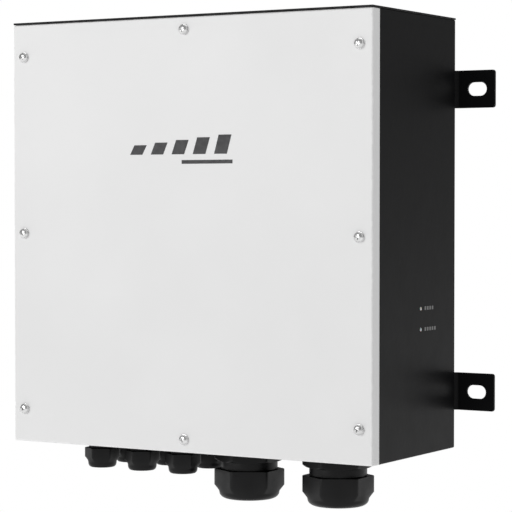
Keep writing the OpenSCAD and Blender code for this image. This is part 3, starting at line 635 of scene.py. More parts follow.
def folded_tray(low, high, face_y, rim_y, wall, fold, corner):
    """A sheet-metal tray with a flat face, four folded walls and an open rim."""
    way = 1 if rim_y > face_y else -1
    lip = 0.25 * MM
    arc = [math.radians(a) for a in range(0, 91, 15)]

    def bend(radius, angles):
        return [(fold - radius * math.sin(t), face_y + way * (fold - radius * math.cos(t))) for t in angles]

    inner = bend(fold - wall, arc)
    rim = [(wall, rim_y - way * lip), (wall - lip, rim_y), (lip, rim_y), (0.0, rim_y - way * lip)]
    profile = inner + rim + bend(fold, reversed(arc))
    first_outer = len(inner) + len(rim) - 1
    worn_and_sheened = {len(inner), len(inner) + 2} | set(range(first_outer + 1, len(profile)))
    shape = Shape()
    shape.loft([rounded_ring(low, high, inset, corner, y) for inset, y in profile], worn_and_sheened=worn_and_sheened)
    return shape.mesh()


def drills(holes):
    """Rods for cutting holes. Each hole is a spot, a direction, a radius and a length."""
    shape = Shape()
    for spot, direction, radius, length in holes:
        shape.turned([(radius, -length / 2), (radius, length / 2)], aimed(spot, direction), 48)
    return shape.mesh()


def gland_spots():
    """Middle of each gland on the underside, with its kind."""
    names = [n for n in sorted(frame["nodes"]) if "dome_nut" in n]
    spots = {}
    for name in names:
        centre = middle(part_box(name))
        spots[name] = (Vector((centre.x, centre.y, BODY_LOW.z)), name.split("_")[0])
    return spots


COVER_LOW, COVER_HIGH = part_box("front_cover")
BODY_LOW, BODY_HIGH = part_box("body_shell")
PLATE_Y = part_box("mounting_plate")[0].y
GLANDS = gland_spots()


def make_cover():
    holes = [(middle(box), FORWARD, M5 + BORE_GAP, 12 * MM) for box in solids("screw_washers")]
    sheet = folded_tray(COVER_LOW, COVER_HIGH, COVER_LOW.y, COVER_HIGH.y,
                        wall=1.2 * MM, fold=1.9 * MM, corner=1.2 * MM)
    sheet = carved(sheet, drills(holes))
    piece("cover_sheet", sheet, GREY_PAINT, "grey_paint", "front_cover", body="cover")


def make_body():
    through = 8 * MM
    lamp_hole = 1.75 * MM
    holes = []
    for spot, kind in GLANDS.values():
        holes.append((spot, DOWN, (GLAND_SIZES[kind]["thread"] + 0.2) * MM, through))
    for box in solids("light_pipes"):
        spot = middle(box)
        spot.x = BODY_HIGH.x
        holes.append((spot, SIDEWAYS, lamp_hole, through))
    for box in solids("strap_screws"):
        spot = middle(box)
        spot.y = BODY_HIGH.y
        holes.append((spot, FORWARD, M5 + BORE_GAP, through))
    sheet = folded_tray(BODY_LOW, BODY_HIGH, BODY_HIGH.y, BODY_LOW.y,
                        wall=SHEET * MM, fold=2.4 * MM, corner=1.3 * MM)
    piece("body_sheet", carved(sheet, drills(holes)), BLACK_PAINT, "black_paint", "body_shell")


def washer_profile(low, high):
    """A plain washer with a rounded rim, in its solid's box."""
    radius = (high.x - low.x) / 2
    thick = high.y - low.y
    bore = M5 + BORE_GAP
    return [(bore, 0.0), (radius - 0.2 * MM, 0.0), (radius, 0.25 * thick), (radius, 0.75 * thick),
            (radius - 0.25 * MM, thick), (M5 + 0.3 * MM, thick), (bore, 0.8 * thick)]


def make_cover_fittings():
    screws("cover_screw_set", "cover_screws", COVER_SCREW, seat_forward(COVER_SCREW), "cover")
    shape = Shape()
    for box in solids("screw_washers"):
        shape.turned(washer_profile(*box), aimed(back_of(box), FORWARD), 40, around=True)
    piece("cover_washers", shape.mesh(), BRIGHT, "bright_screw", "screw_washers", body="cover")
    softened("cover_seal", "cover_gasket", 0.8 * MM, FOAM, "cover", steps=3)
    dress("front_mark", DARK_INK)


def make_box_fittings():
    softened("hood_sheet", "rain_hood", 0.5 * MM, BLACK_PAINT)
    softened("front_flange", "front_frame", 0.3 * MM, BLACK_PAINT)
    softened("clinch_nut_set", "clinch_nuts", 0.25 * MM, ZINC, steps=1)
    softened("upper_strap", "upper_wall_strap", 0.35 * MM, BLACK_PAINT, bend=1.6 * MM)
    softened("lower_strap", "lower_wall_strap", 0.35 * MM, BLACK_PAINT, bend=1.6 * MM)

    def seat(box):
        return back_of(box) + FORWARD * STRAP_SCREW["height"], -FORWARD

    screws("strap_screw_set", "strap_screws", STRAP_SCREW, seat)
    dress("status_marks", GREY_INK)


# ---------- glands ----------

GLAND_SIZES = {
    "large": {"thread": 25.0, "across": 59.4, "flange": 14.5, "neck": 27.5, "neck_end": 22.4,
              "nut_end": 42.0, "dome_end": 51.3, "dome": 29.2, "spigot": 24.0, "seat": 22.0, "cable": 18.0},
    "small": {"thread": 12.5, "across": 30.6, "flange": 6.5, "neck": 13.5, "neck_end": 8.7,
              "nut_end": 20.8, "dome_end": 28.3, "dome": 14.15, "spigot": 11.8, "seat": 10.4, "cable": 8.5},
}
SEAL = 1.4
SHEET = 1.5


def in_metres(profile):
    return [(radius * MM, height * MM) for radius, height in profile]


def chamfered(across, start, end, depth):
    """A hexagonal bar's profile from start to end, with its corners turned down at both ends."""
    face, corner = across * 0.5, across * CORNER
    down = [(face + (corner - face) * i / 6, start + depth * (i / 6) ** 1.6) for i in range(7)]
    up = [(radius, start + end - height) for radius, height in reversed(down)]
    return down + up


def thread(radius, start, end, pitch=1.5):
    """The profile of a moulded thread."""
    points = []
    height = start
    while height + pitch < end:
        points += [(radius, height), (radius, height + pitch * 0.3),
                   (radius - 0.55, height + pitch * 0.55), (radius - 0.55, height + pitch * 0.75)]
        height += pitch
    return points + [(radius, end)]


def gland_body_mesh(g):
    """A gland's body with its thread, hexagonal flange, neck and slit collar, z counted downwards."""
    top = -(SHEET + 11.0)
    spigot_end = g["nut_end"] - 1.5
    flange = chamfered(g["across"], SEAL, g["flange"], g["across"] * 0.035)
    outside = thread(g["thread"] - 0.1, top, 0.0)
    outside += [(g["thread"] - 0.1, SEAL)] + flange
    neck, neck_end, spigot = g["neck"], g["neck_end"], g["spigot"]
    outside += [(neck, g["flange"]), (neck, neck_end - 0.4), (neck - 0.4, neck_end)]
    outside += [(spigot, neck_end), (spigot, spigot_end - 0.6), (spigot - 0.6, spigot_end)]
    bore = g["cable"] + 1.0
    inside = [(g["seat"], spigot_end), (g["seat"], neck_end - 2.0), (bore, neck_end - 2.0),
              (bore, top + 0.5), (bore + 0.5, top)]
    shape = Shape()
    shape.turned(in_metres(outside + inside), sides=96, across=g["across"] * MM, around=True)
    slits = Shape()
    low = (spigot_end - (spigot_end - neck_end) * 0.6) * MM
    high = (spigot_end + 1) * MM
    reach, half = (g["thread"] + 5.0) * MM, 0.8 * MM
    for k in range(3):
        slit = Shape()
        slit.block((-reach, -half, low), (reach, half, high))
        slits.add(slit.mesh(), Matrix.Rotation(math.pi / 3 * k, 4, "Z"))
    return carved(shape.mesh(), slits.mesh())


def dome_nut_mesh(g):
    """A gland's dome nut: chamfered hexagon, rounded dome and a mouth for the cable."""
    start, end, dome_end = g["neck_end"] + 0.3, g["nut_end"], g["dome_end"]
    mouth = g["cable"] + 1.2
    corner = g["across"] * CORNER
    chamfer = corner - g["dome"] - 0.3
    shoulder, brow = end + 3.0, mouth + 1.5
    outside = [(corner - 0.5, start), (corner, start + 0.4), (corner, end - chamfer * 0.85),
               (corner - chamfer, end + chamfer * 0.4)]
    for angle in range(0, 91, 9):
        turn = math.radians(angle)
        outside.append((brow + (g["dome"] - brow) * math.cos(turn),
                        shoulder + (dome_end - shoulder) * math.sin(turn)))
    lip = dome_end - (dome_end - end) * 0.4
    hollow, thread_bore = g["seat"] + 0.6, g["spigot"] + 0.1
    inside = [(mouth + 0.4, dome_end), (mouth, dome_end - 0.5), (mouth, lip), (hollow, lip),
              (hollow, end), (thread_bore, end), (thread_bore, start)]
    shape = Shape()
    shape.turned(in_metres(outside + inside), sides=96, across=g["across"] * MM, around=True)
    return shape.mesh()


def insert_mesh(g):
    """The rubber insert, with sealing ribs in its bore."""
    start = g["neck_end"] - 1.8
    end = g["dome_end"] - (g["dome_end"] - g["nut_end"]) * 0.4 - 0.3
    outer = g["seat"] - 0.05
    outside = [(outer, start), (outer, end - 0.8), (outer - 0.8, end)]
    ribs = 5
    step = (end - start) / ribs
    inside = []
    for i in range(ribs):
        top = end - i * step
        inside += [(g["cable"] + 0.7, top), (g["cable"], top - step * 0.3), (g["cable"], top - step * 0.7)]
    shape = Shape()
    shape.turned(in_metres(outside + inside + [(g["cable"] + 0.7, start)]), sides=64, around=True)
    return shape.mesh()


def ring_mesh(outside, bore, low, high, across=None):
    """A ring or nut with a given outer profile, and a bore with eased edges between two heights."""
    ease = (high - low) * 0.12
    inside = [(bore + ease, high), (bore, high - ease), (bore, low + ease), (bore + ease, low)]
    shape = Shape()
    shape.turned(in_metres(outside + inside), sides=96, across=across, around=True)
    return shape.mesh()


def seal_mesh(g):
    """The flat ring between a gland's flange and the box."""
    outer, ease = g["across"] / 2 - 0.4, SEAL * 0.12
    outside = [(outer - ease, 0.0), (outer, ease), (outer, SEAL - ease), (outer - ease, SEAL)]
    return ring_mesh(outside, g["thread"] + 0.05, 0.0, SEAL)


def lock_nut_mesh(g):
    """The hexagonal nut on a gland's thread, inside the box."""
    across = g["across"] + 1.0
    low = -SHEET - 7.0
    outside = chamfered(across, low, -SHEET, across * 0.05)
    return ring_mesh(outside, g["thread"] + 0.05, low, -SHEET, across * MM)


def under_box(name, node, make, material, slot, kinds=("large", "small")):
    """One piece made of a mesh for each gland of some kinds, hung under the box."""
    meshes = {kind: make(size) for kind, size in GLAND_SIZES.items()}
    shape = Shape()
    for spot, kind in GLANDS.values():
        if kind in kinds:
            shape.add(meshes[kind], aimed_down(spot))
    piece(name, shape.mesh(), material, slot, node)


def aimed_down(spot, spin=0.0):
    """A place with z downwards and the hexagon's flats square to x."""
    return Matrix.Translation(spot) @ Matrix.Rotation(math.pi, 4, "X") @ Matrix.Rotation(spin, 4, "Z")


def make_glands():
    for kind in GLAND_SIZES:
        under_box(f"{kind}_gland_set", f"{kind}_gland_bodies", gland_body_mesh, NYLON, "black_nylon", (kind,))
    under_box("rubber_insert_set", "gland_inserts", insert_mesh, RUBBER, "black_rubber")
    under_box("seal_ring_set", "gland_seals", seal_mesh, RUBBER, "black_rubber")
    under_box("lock_nut_set", "gland_lock_nuts", lock_nut_mesh, NYLON, "black_nylon")
    nuts = {kind: dome_nut_mesh(size) for kind, size in GLAND_SIZES.items()}
    for node, (spot, kind) in GLANDS.items():
        shape = Shape()
        shape.add(nuts[kind], aimed_down(spot))
        number = node.split("_")[-1]
        piece(f"{kind}_cable_nut_{number}", shape.mesh(), NYLON, "black_nylon", node,
              body=f"{kind}_nut_{number}")


# ---------- lamps ----------


def make_lamps():
    shape = Shape()
    collar, ease, stem, bulge = 2.6 * MM, 0.2 * MM, 1.7 * MM, 0.7 * MM
    for low, high in solids("light_pipes"):
        spot = middle((low, high))
        spot.x = low.x
        length = high.x - low.x
        collar_end = length - 2.25 * MM
        arc = [math.radians(a) for a in range(0, 86, 12)]
        dome = [(stem * math.cos(t), length - bulge * (1 - math.sin(t))) for t in arc]
        profile = [(collar - ease, 0.0), (collar, ease), (collar, collar_end), (stem, collar_end)] + dome
        shape.turned(profile, aimed(spot, SIDEWAYS), 40)
    piece("lamp_lens_set", shape.mesh(), LENS, "lamp_clear", "light_pipes")
    softened("lamp_circuit", "lamp_board", 0.15 * MM, [BOARD, LENS], steps=1,
             choose=lambda low, high: 1 if high.z - low.z < 8 * MM else 0)


# ---------- plate, rails and duct ----------


def make_back():
    softened("zinc_plate_sheet", "mounting_plate", 0.4 * MM, ZINC)
    softened("hex_spacer_set", "hex_spacers", 0.25 * MM, BRIGHT, steps=1)
    softened("plate_nut_set", "plate_nuts", 0.3 * MM, BRIGHT, steps=1)
    softened("rail_set", "din_rails", 0.25 * MM, ZINC)
    softened("duct_comb", "wire_duct", 0.35 * MM, DUCT)
    softened("duct_lid", "duct_cover", 0.5 * MM, DUCT)
    softened("earth_bar_brass", "earth_bar", 0.5 * MM, BRASS)
    screws("earth_screw_set", "earth_bar_screws", EARTH_SCREW, seat_forward(EARTH_SCREW))


# ---------- breakers and contactors ----------


def tile(shape, x, z, wide, tall, y, thick, edge=0.0):
    """A thin plate on a face that looks forward, at depth y."""
    half = Vector((wide / 2, 0, tall / 2))
    near = Vector((x, y, z))
    shape.block(near - half - Vector((0, thick, 0)), near + half, edge)


def label(shape, x, z, wide, tall, y, lines):
    """A white label with plain printed lines of several lengths."""
    thick = 0.2 * MM
    shape.paint = 0
    tile(shape, x, z, wide, tall, y, thick, 0.06 * MM)
    shape.paint = 1
    for i in range(lines):
        length = wide * chance.uniform(0.4, 0.84)
        row = z + tall * (0.5 - (i + 1) / (lines + 1))
        tile(shape, x - wide * 0.42 + length / 2, row, length, tall * 0.25 / lines, y - thick, 0.04 * MM)


def flag(shape, x, z, y, paint):
    """A dark window with a coloured contact flag behind its frame."""
    shape.paint = 2
    tile(shape, x, z, 8.0 * MM, 4.6 * MM, y, 0.35 * MM, 0.12 * MM)
    shape.paint = paint
    tile(shape, x, z, 6.2 * MM, 2.8 * MM, y, 0.42 * MM, 0.05 * MM)


def clamp_screws(shape, low, high, clamps):
    """Screws at the bottom of the holes along both ends of a device, one at each end of each pole."""
    floor_depth, reach, radius = clamps
    head, shank = 1.7 * MM, 0.8 * MM
    template = pan_screw(radius, head, radius * 0.5, shank)
    centre = middle((low, high))
    for i in range(round((high.x - low.x) / MODULE)):
        x = low.x + MODULE * (i + 0.5)
        for side in (-1, 1):
            spot = Vector((x, PLATE_Y - floor_depth, centre.z + side * reach))
            shape.add(template, aimed(spot, FORWARD, chance.uniform(0, math.pi)))


MODULE = 18.0 * MM
# Clamp screws: depth of their hole from the plate, distance from the device's middle, and radius
BREAKER_CLAMPS = (47 * MM, 32 * MM, 2.7 * MM)
CONTACTOR_CLAMPS = (81 * MM, 31 * MM, 3.1 * MM)
# Poles of each breaker that have a lever; the others carry a label
LEVERS = {"residual_breaker": (2,), "line_breaker": (0, 1, 2, 3), "control_breaker": (0, 1)}
TEST_KEY_POLE = 0
LABEL_WIDE = 14 * MM


def breaker_labels(shape, node):
    low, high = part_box(node)
    z = (low.z + high.z) / 2
    for i in range(round((high.x - low.x) / MODULE)):
        x = low.x + MODULE * (i + 0.5)
        if i in LEVERS[node]:
            label(shape, x, z + 16.2 * MM, LABEL_WIDE, 9 * MM, low.y, 3)
            flag(shape, x, z - 15.5 * MM, low.y, 3)
        elif i == TEST_KEY_POLE:
            label(shape, x, z + 9 * MM, LABEL_WIDE, 19 * MM, low.y, 6)
        else:
            label(shape, x, z, LABEL_WIDE, 38 * MM, low.y, 9)


def make_breakers():
    for node in LEVERS:
        softened(node.replace("breaker", "switch_case"), node, 0.45 * MM, DEVICE)
    softened("residual_lever_blue", "residual_toggle", 0.5 * MM, BLUE, "residual_lever", steps=3)
    softened("line_lever_tied", "line_toggle", 0.5 * MM, DARK_DEVICE, "line_lever", steps=3)
    softened("control_lever_tied", "control_toggle", 0.5 * MM, DARK_DEVICE, "control_lever", steps=3)
    softened("test_key_cap", "test_button", 0.5 * MM, YELLOW, "test_key", steps=3)
    labels, clamps = Shape(), Shape()
    from_side, wide = 14 * MM, 20 * MM
    for node in LEVERS:
        breaker_labels(labels, node)
        clamp_screws(clamps, *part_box(node), BREAKER_CLAMPS)
    for low, high in solids("contactor_covers"):
        clamp_screws(clamps, low, high, CONTACTOR_CLAMPS)
        z = (low.z + high.z) / 2
        label(labels, low.x + from_side, z, wide, 34 * MM, low.y, 8)
        label(labels, high.x - from_side, z + 8 * MM, wide, 14 * MM, low.y, 3)
        flag(labels, high.x - from_side, z - 12 * MM, low.y, 4)
    piece("device_label_set", labels.mesh(), [LABEL, GREY_INK, DARK_DEVICE, SIGNAL_RED, SIGNAL_GREEN],
          "device_grey")
    piece("clamp_screw_set", clamps.mesh(), BRIGHT, "bright_screw")


def bobbin(shape, low, high):
    """A coil on its bobbin: two end plates, and enamelled wire laid turn beside turn between them."""
    centre = (low + high) / 2
    bore_half = Vector((8.2, 0, 6.2)) * MM
    plate, ease, turns = 1.4 * MM, 0.3 * MM, 26
    wire_depth, groove = 1.5 * MM, 0.4 * MM

    def rim(inset, y):
        return rounded_ring(low, high, inset, 2.0 * MM, y)

    def bore(y):
        return rounded_ring(centre - bore_half, centre + bore_half, 0.0, 0.6 * MM, y)

    shape.paint = 1
    for start in (low.y, high.y - plate):
        end = start + plate
        shape.loft([bore(start), rim(ease, start), rim(0.0, start + ease), rim(0.0, end - ease),
                    rim(ease, end), bore(end)], around=True)
    shape.paint = 0
    first = low.y + plate
    pitch = (high.y - low.y - 2 * plate) / turns
    rings = [bore(first)]
    for i in range(turns):
        for share in (0.0, 0.25, 0.5, 0.75):
            depth = wire_depth - groove * math.sin(math.pi * share)
            rings.append(rim(depth, first + (i + share) * pitch))
    last = first + turns * pitch
    shape.loft(rings + [rim(wire_depth, last), bore(last)], around=True)


def make_contactors():
    softened("contactor_base_set", "contactor_bases", 0.5 * MM, DEVICE)
    softened("contactor_cover_set", "contactor_covers", 0.5 * MM, DARK_DEVICE)
    softened("laminated_core_set", "contactor_cores", 0.3 * MM, IRON, steps=1)
    coils = Shape()
    for low, high in solids("contactor_coils"):
        bobbin(coils, low, high)
    piece("wound_coil_set", coils.mesh(), [COIL, DARK_DEVICE], "copper", "contactor_coils")
    for i in (1, 2):
        softened(f"armature_{i}", f"contactor_carrier_{i}", 0.4 * MM, GREEN, f"contactor_carrier_{i}_body")


# ---------- terminals ----------

# Places from the left, end clamps counted, of the blue neutral and green earth terminals
NEUTRALS = (4, 18)
EARTHS = (20, 21)
CLAMP_WIDE = 8.0 * MM


def slotted_screw(radius, height):
    """A flat-headed screw that points along z, with its back at z = 0 and a slot across its head."""
    edge = radius * 0.12
    shape = Shape()
    shape.turned([(radius, 0.0), (radius, height - edge), (radius - edge, height)])
    slot = Shape()
    slot.block((-radius * 1.1, -radius * 0.13, height * 0.78), (radius * 1.1, radius * 0.13, height * 1.2))
    return carved(shape.mesh(), slot.mesh())


def terminal_paint(low, high):
    """Grey, blue or green for a terminal by its place in the row, and dark for an end clamp."""
    place = [round(box[0].x, 5) for box in solids("field_terminals")].index(round(low.x, 5))
    if high.x - low.x < CLAMP_WIDE:
        return 3
    return 1 if place in NEUTRALS else 2 if place in EARTHS else 0


def make_terminals():
    softened("terminal_block_set", "field_terminals", 0.35 * MM,
             [TERMINAL, BLUE_TERMINAL, EARTH_TERMINAL, DARK_DEVICE], choose=terminal_paint)
    screws_made, tags = Shape(), Shape()
    for low, high in solids("terminal_screws"):
        template = slotted_screw((high.x - low.x) / 2, high.y - low.y)
        screws_made.add(template, aimed(back_of((low, high)), FORWARD, chance.uniform(0, math.pi)))
    for low, high in solids("field_terminals"):
        if high.x - low.x > CLAMP_WIDE:
            label(tags, (low.x + high.x) / 2, (low.z + high.z) / 2, high.x - low.x - 3 * MM, 8 * MM, low.y, 1)
    piece("terminal_screw_set", screws_made.mesh(), BRIGHT, "bright_screw", "terminal_screws")
    piece("marker_tag_set", tags.mesh(), [LABEL, GREY_INK], "terminal_grey")


# ---------- control board ----------

BOARD_LOW, BOARD_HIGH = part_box("control_board")
BOARD_FACE = BOARD_LOW.y
TRACK_WIDE = 0.6 * MM
TRACK_THICK = 0.06 * MM
# Free areas of the board for small parts: left, right, bottom and top edge in millimetres from
# the board's lower left corner
SMALL_PART_AREAS = (
    (17, 33, 89, 101), (17, 33, 126, 138), (17, 33, 162, 174), (34, 47, 56, 64),
    (68, 76, 58, 80), (38, 70, 4, 16), (12, 18, 4, 22), (80, 86, 92, 172),
)


def on_board(x, z):
    """A place on the board, given in millimetres from its lower left corner."""
    return BOARD_LOW.x + x * MM, BOARD_LOW.z + z * MM


def input_plugs():
    """The plugs on the board's left edge that stand above the capacitors."""
    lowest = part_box("board_capacitors")[1].z
    centre = middle((BOARD_LOW, BOARD_HIGH))
    return [box for box in solids("board_plugs") if box[1].x < centre.x and box[0].z > lowest]


def ribbon(shape, points, width, thick):
    """A flat strip along (x, z) points on the face of the board."""
    path = [Vector(p) for p in points]
    rings = []
    for i, spot in enumerate(path):
        coming = (spot - path[max(i - 1, 0)]).normalized()
        going = (path[min(i + 1, len(path) - 1)] - spot).normalized()
        way = (coming + going).normalized()
        side = Vector((-way.y, way.x)) * width / 2
        a, b = spot + side, spot - side
        rings.append([(a.x, BOARD_FACE, a.y), (a.x, BOARD_FACE - thick, a.y),
                      (b.x, BOARD_FACE - thick, b.y), (b.x, BOARD_FACE, b.y)])
    shape.loft(rings)


def outline(shape, low, high, gap):
    """A thin printed frame round a part."""
    x0, z0, x1, z1 = low.x - gap, low.z - gap, high.x + gap, high.z + gap
    around = [(x0, z0), (x1, z0), (x1, z1), (x0, z1), (x0, z0)]
    for a, b in zip(around, around[1:]):
        ribbon(shape, [a, b], 0.25 * MM, 0.04 * MM)


def chip(shape, x, z, wide, tall, legs, sides):
    """A resin package with bent legs along its sides, each side given as a turn in degrees."""
    body_low, body_high = 0.25 * MM, 1.7 * MM
    leg_thick = 0.18
    # Bends of a leg: distance out from the body and height over the board, in millimetres
    leg_bends = ((-0.05, 1.0), (0.35, 1.0), (0.75, 0.2), (1.3, 0.2))
    shape.paint = 0
    shape.block((x - wide / 2, BOARD_FACE - body_high, z - tall / 2),
                (x + wide / 2, BOARD_FACE - body_low, z + tall / 2), 0.15 * MM, 1)
    shape.paint = 1
    for turn in sides:
        reach, length = (wide, tall) if turn % 180 == 0 else (tall, wide)
        place = Matrix.Translation((x, BOARD_FACE, z)) @ Matrix.Rotation(math.radians(turn), 4, "Y")
        pitch = length * 0.86 / (legs - 1)
        half = pitch * 0.2
        for i in range(legs):
            along = (i - (legs - 1) / 2) * pitch
            rings = []
            for out, up in leg_bends:
                far, near = -up * MM, -(up - leg_thick) * MM
                start = reach / 2 + out * MM
                rings.append([place @ Vector(p) for p in (
                    (start, near, along - half), (start, far, along - half),
                    (start, far, along + half), (start, near, along + half))])
            shape.loft(rings)


def small_part(shape, x, z, upright, paint):
    """A surface-mounted resistor or capacitor: a body between two tinned ends."""
    long, short, high = 2.0 * MM, 1.25 * MM, 0.6 * MM
    for shift, share, colour in ((0.0, 0.56, paint), (-0.39, 0.22, 1), (0.39, 0.22, 1)):
        shape.paint = colour
        size = (short, long * share) if upright else (long * share, short)
        offset = (0, long * shift) if upright else (long * shift, 0)
        tall = high if colour == paint else high * 1.08
        tile(shape, x + offset[0], z + offset[1], *size, BOARD_FACE, tall)


def capacitor(low, high):
    """An electrolytic can: crimped sleeve, pale stripe and a vented top, in its solid's box."""
    radius, tall = (high.x - low.x) / 2, high.y - low.y
    crimp, skin, lid_edge = 0.5 * MM, 0.1 * MM, 1.2 * MM
    arc = [math.radians(a) for a in range(0, 91, 30)]
    shape = Shape()
    profile = [(radius - 0.3 * MM, 0.0), (radius, 0.3 * MM)]
    profile += [(radius, 1.6 * MM), (radius - crimp, 2.2 * MM), (radius, 2.8 * MM)]
    profile += [(radius - crimp * (1 - math.cos(t)), tall - crimp + 0.4 * MM * math.sin(t)) for t in arc]
    shape.turned(profile, sides=48)
    shape.paint = 1
    foot, head = 4 * MM, tall - lid_edge
    stripe = [(radius - skin, foot), (radius, foot), (radius, head), (radius - skin, head)]
    turns = [math.radians(degrees) for degrees in range(-22, 23, 4)]
    shape.loft([[(r * math.cos(t), r * math.sin(t), h) for r, h in stripe] for t in turns])
    can = Shape()
    top = radius - lid_edge
    can.turned([(top, tall - 0.4 * MM), (top, tall - skin), (top - 0.2 * MM, tall)], sides=48)
    vent = Shape()
    for turn in range(0, 360, 120):
        arm = Shape()
        arm.block((0, -0.15 * MM, tall - 0.2 * MM), (top * 0.8, 0.15 * MM, tall + MM))
        vent.add(arm.mesh(), Matrix.Rotation(math.radians(turn), 4, "Z"))
    shape.add(carved(can.mesh(), vent.mesh()), Matrix.Identity(4))
    for face in shape.bm.faces:
        lowest = min(v.co.z for v in face.verts)
        widest = max(v.co.xy.length for v in face.verts)
        if lowest > tall - 0.41 * MM and widest < top + WELD:
            face.material_index = 2
    return shape.mesh()


def board_tracks(chips):
    """Covered copper tracks from the plugs to the chips and on to the relays, and down to the lamp plug."""
    shape = Shape()
    plugs = max(box[1].x for box in input_plugs())
    relays = min(box[0].x for box in solids("board_relays"))
    for x, z, leg_pitch in chips:
        for j in (-2, -1, 0, 1, 2):
            leg = z + j * leg_pitch
            far, near = z + j * 4.4 * MM, z + j * 2.6 * MM
            from_plug = [(plugs - MM, far), (plugs + 2.2 * MM, far), (x - 5.2 * MM, leg), (x - 3 * MM, leg)]
            to_relay = [(x + 3 * MM, leg), (x + 4.6 * MM, leg),
                        (relays - 1.6 * MM, near), (relays + MM, near)]
            ribbon(shape, from_plug, TRACK_WIDE, TRACK_THICK)
            ribbon(shape, to_relay, TRACK_WIDE, TRACK_THICK)
    for j in range(6):
        x = BOARD_HIGH.x - (3.2 + j * 1.3) * MM
        low, bend = BOARD_LOW.z + 24 * MM, BOARD_LOW.z + (72 + 2 * j) * MM
        ribbon(shape, [(x, low), (x, bend), (x - 4 * MM, bend + 6 * MM)], TRACK_WIDE, TRACK_THICK)
    return shape


def board_parts(chips):
    """The driver chips, the processor, a small supply chip and rows of small parts."""
    shape = Shape()
    for x, z, _ in chips:
        chip(shape, x, z, 4.4 * MM, 9.0 * MM, 6, (0, 180))
    chip(shape, *on_board(58, 69), 12 * MM, 12 * MM, 11, (0, 90, 180, 270))
    chip(shape, *on_board(38, 70), 5 * MM, 6 * MM, 4, (0, 180))
    step = 3.6
    for left, right, bottom, top in SMALL_PART_AREAS:
        for i in range(int((right - left) / step) + 1):
            for k in range(int((top - bottom) / step) + 1):
                kind = chance.random()
                if kind < 0.75:
                    spot = on_board(left + i * step, bottom + k * step)
                    small_part(shape, *spot, kind < 0.25, 0 if kind < 0.45 else 2)
    return shape


def board_prints():
    """Printed frames round the relays and the transformer, and printed lines on the relays."""
    shape = Shape()
    for node in ("board_relays", "board_transformer"):
        for box in solids(node):
            outline(shape, *box, 0.7 * MM)
    for low, high in solids("board_relays"):
        for i in range(4):
            length = chance.uniform(6, 13) * MM
            row = high.z - (6 + i * 3.4) * MM
            tile(shape, low.x + 2.5 * MM + length / 2, row, length, 0.9 * MM, low.y, 0.05 * MM)
    return shape


def make_board():
    softened("control_board_laminate", "control_board", 0.12 * MM, BOARD, steps=1)
    softened("relay_set", "board_relays", 0.6 * MM, RELAY)
    softened("transformer_wound", "board_transformer", 0.5 * MM, [FERRITE, TAPE], steps=3,
             choose=lambda low, high: 0 if high.x - low.x > 30 * MM else 1)
    driver_from_left = 25 * MM
    leg_pitch = 1.5 * MM
    chips = [(BOARD_LOW.x + driver_from_left, middle(box).z, leg_pitch) for box in input_plugs()]
    piece("board_part_set", board_parts(chips).mesh(), [CHIP, BRIGHT, TAPE], "device_black")
    piece("board_track_set", board_tracks(chips).mesh(), TRACK, "green_board")
    piece("board_print_set", board_prints().mesh(), WHITE_INK, "grey_print")
    cans = Shape()
    stripe_turn = 0.6
    for box in solids("board_capacitors"):
        cans.add(capacitor(*box), aimed(back_of(box), FORWARD, stripe_turn))
    piece("capacitor_set", cans.mesh(), [SLEEVE, LABEL, BRIGHT], "capacitor_sleeve", "board_capacitors")
    make_plugs()

    def seat(box):
        size = box[1] - box[0]
        if size.y > size.x:
            return seat_forward(BOARD_SCREW)(box)
        spot = middle(box)
        spot.x = box[0].x + BOARD_SCREW["height"]
        return spot, -SIDEWAYS

    screws("board_screw_set", "board_screws", BOARD_SCREW, seat)


def make_plugs():
    """Plug-in terminals with a well and a slotted screw for each pole."""
    wells, pole_screws = [], Shape()
    template = slotted_screw(1.6 * MM, 1.2 * MM)
    pitch, well = 5.08 * MM, 2.6 * MM
    for low, high in solids("board_plugs"):
        poles = int((high.z - low.z) / pitch)
        for i in range(poles if poles > 1 else 0):
            z = (low.z + high.z) / 2 + (i - (poles - 1) / 2) * pitch
            spot = Vector((low.x + 4.5 * MM, low.y, z))
            wells.append((spot, FORWARD, 1.8 * MM, 2 * well))
            pole_screws.add(template, aimed(spot - FORWARD * well, FORWARD, chance.uniform(0, math.pi)))
    shape = Shape(welded("board_plugs"))
    shape.round_off([e for e in shape.bm.edges if is_turn(e, 40, 180)], 0.35 * MM, 2)
    piece("plug_terminal_set", carved(shape.mesh(), drills(wells)), PLUG, "plug_green", "board_plugs")
    piece("plug_screw_set", pole_screws.mesh(), BRIGHT, "bright_screw")


# ---------- wires ----------


def collar_profile(radius):
    """The plastic collar of a ferrule on a wire of some radius, which tapers away from the wire's end."""
    start, long, thick, ease = 3.4 * MM, 6.5 * MM, 0.7 * MM, 0.5 * MM
    bore, taper = radius * 0.9, 1.5 * MM
    return [(bore, start), (radius + ease, start), (radius + thick, start + ease),
            (radius + thick, start + long - taper), (radius + 0.1 * MM, start + long), (bore, start + long)]


def wires(name, node, slot, materials, choose):
    """Round wires on their CAD routes, and a ferrule collar at each upright end. choose gives a wire's
    material from its place in the list of wires, highest first and then from left to right."""
    shape = Shape(welded(node))
    collars = Shape()

    def top(group):
        point = max((v.co for face in group for v in face.verts), key=lambda p: p.z)
        return -round(point.z, 3), point.x

    for place, group in enumerate(sorted(islands(shape.bm), key=top)):
        for face in group:
            face.material_index = choose(place)
            if abs(face.normal.z) > 0.99 and len(face.verts) > 4:
                spot = face.calc_center_median()
                radius = max((v.co - spot).length for v in face.verts)
                collars.turned(collar_profile(radius), aimed(spot, -face.normal), 24, around=True)
    piece(name, shape.mesh(), materials, slot, node, rounds=1)
    if collars.bm.faces:
        piece(name.replace("set", "collars"), collars.mesh(), LABEL, "device_grey")


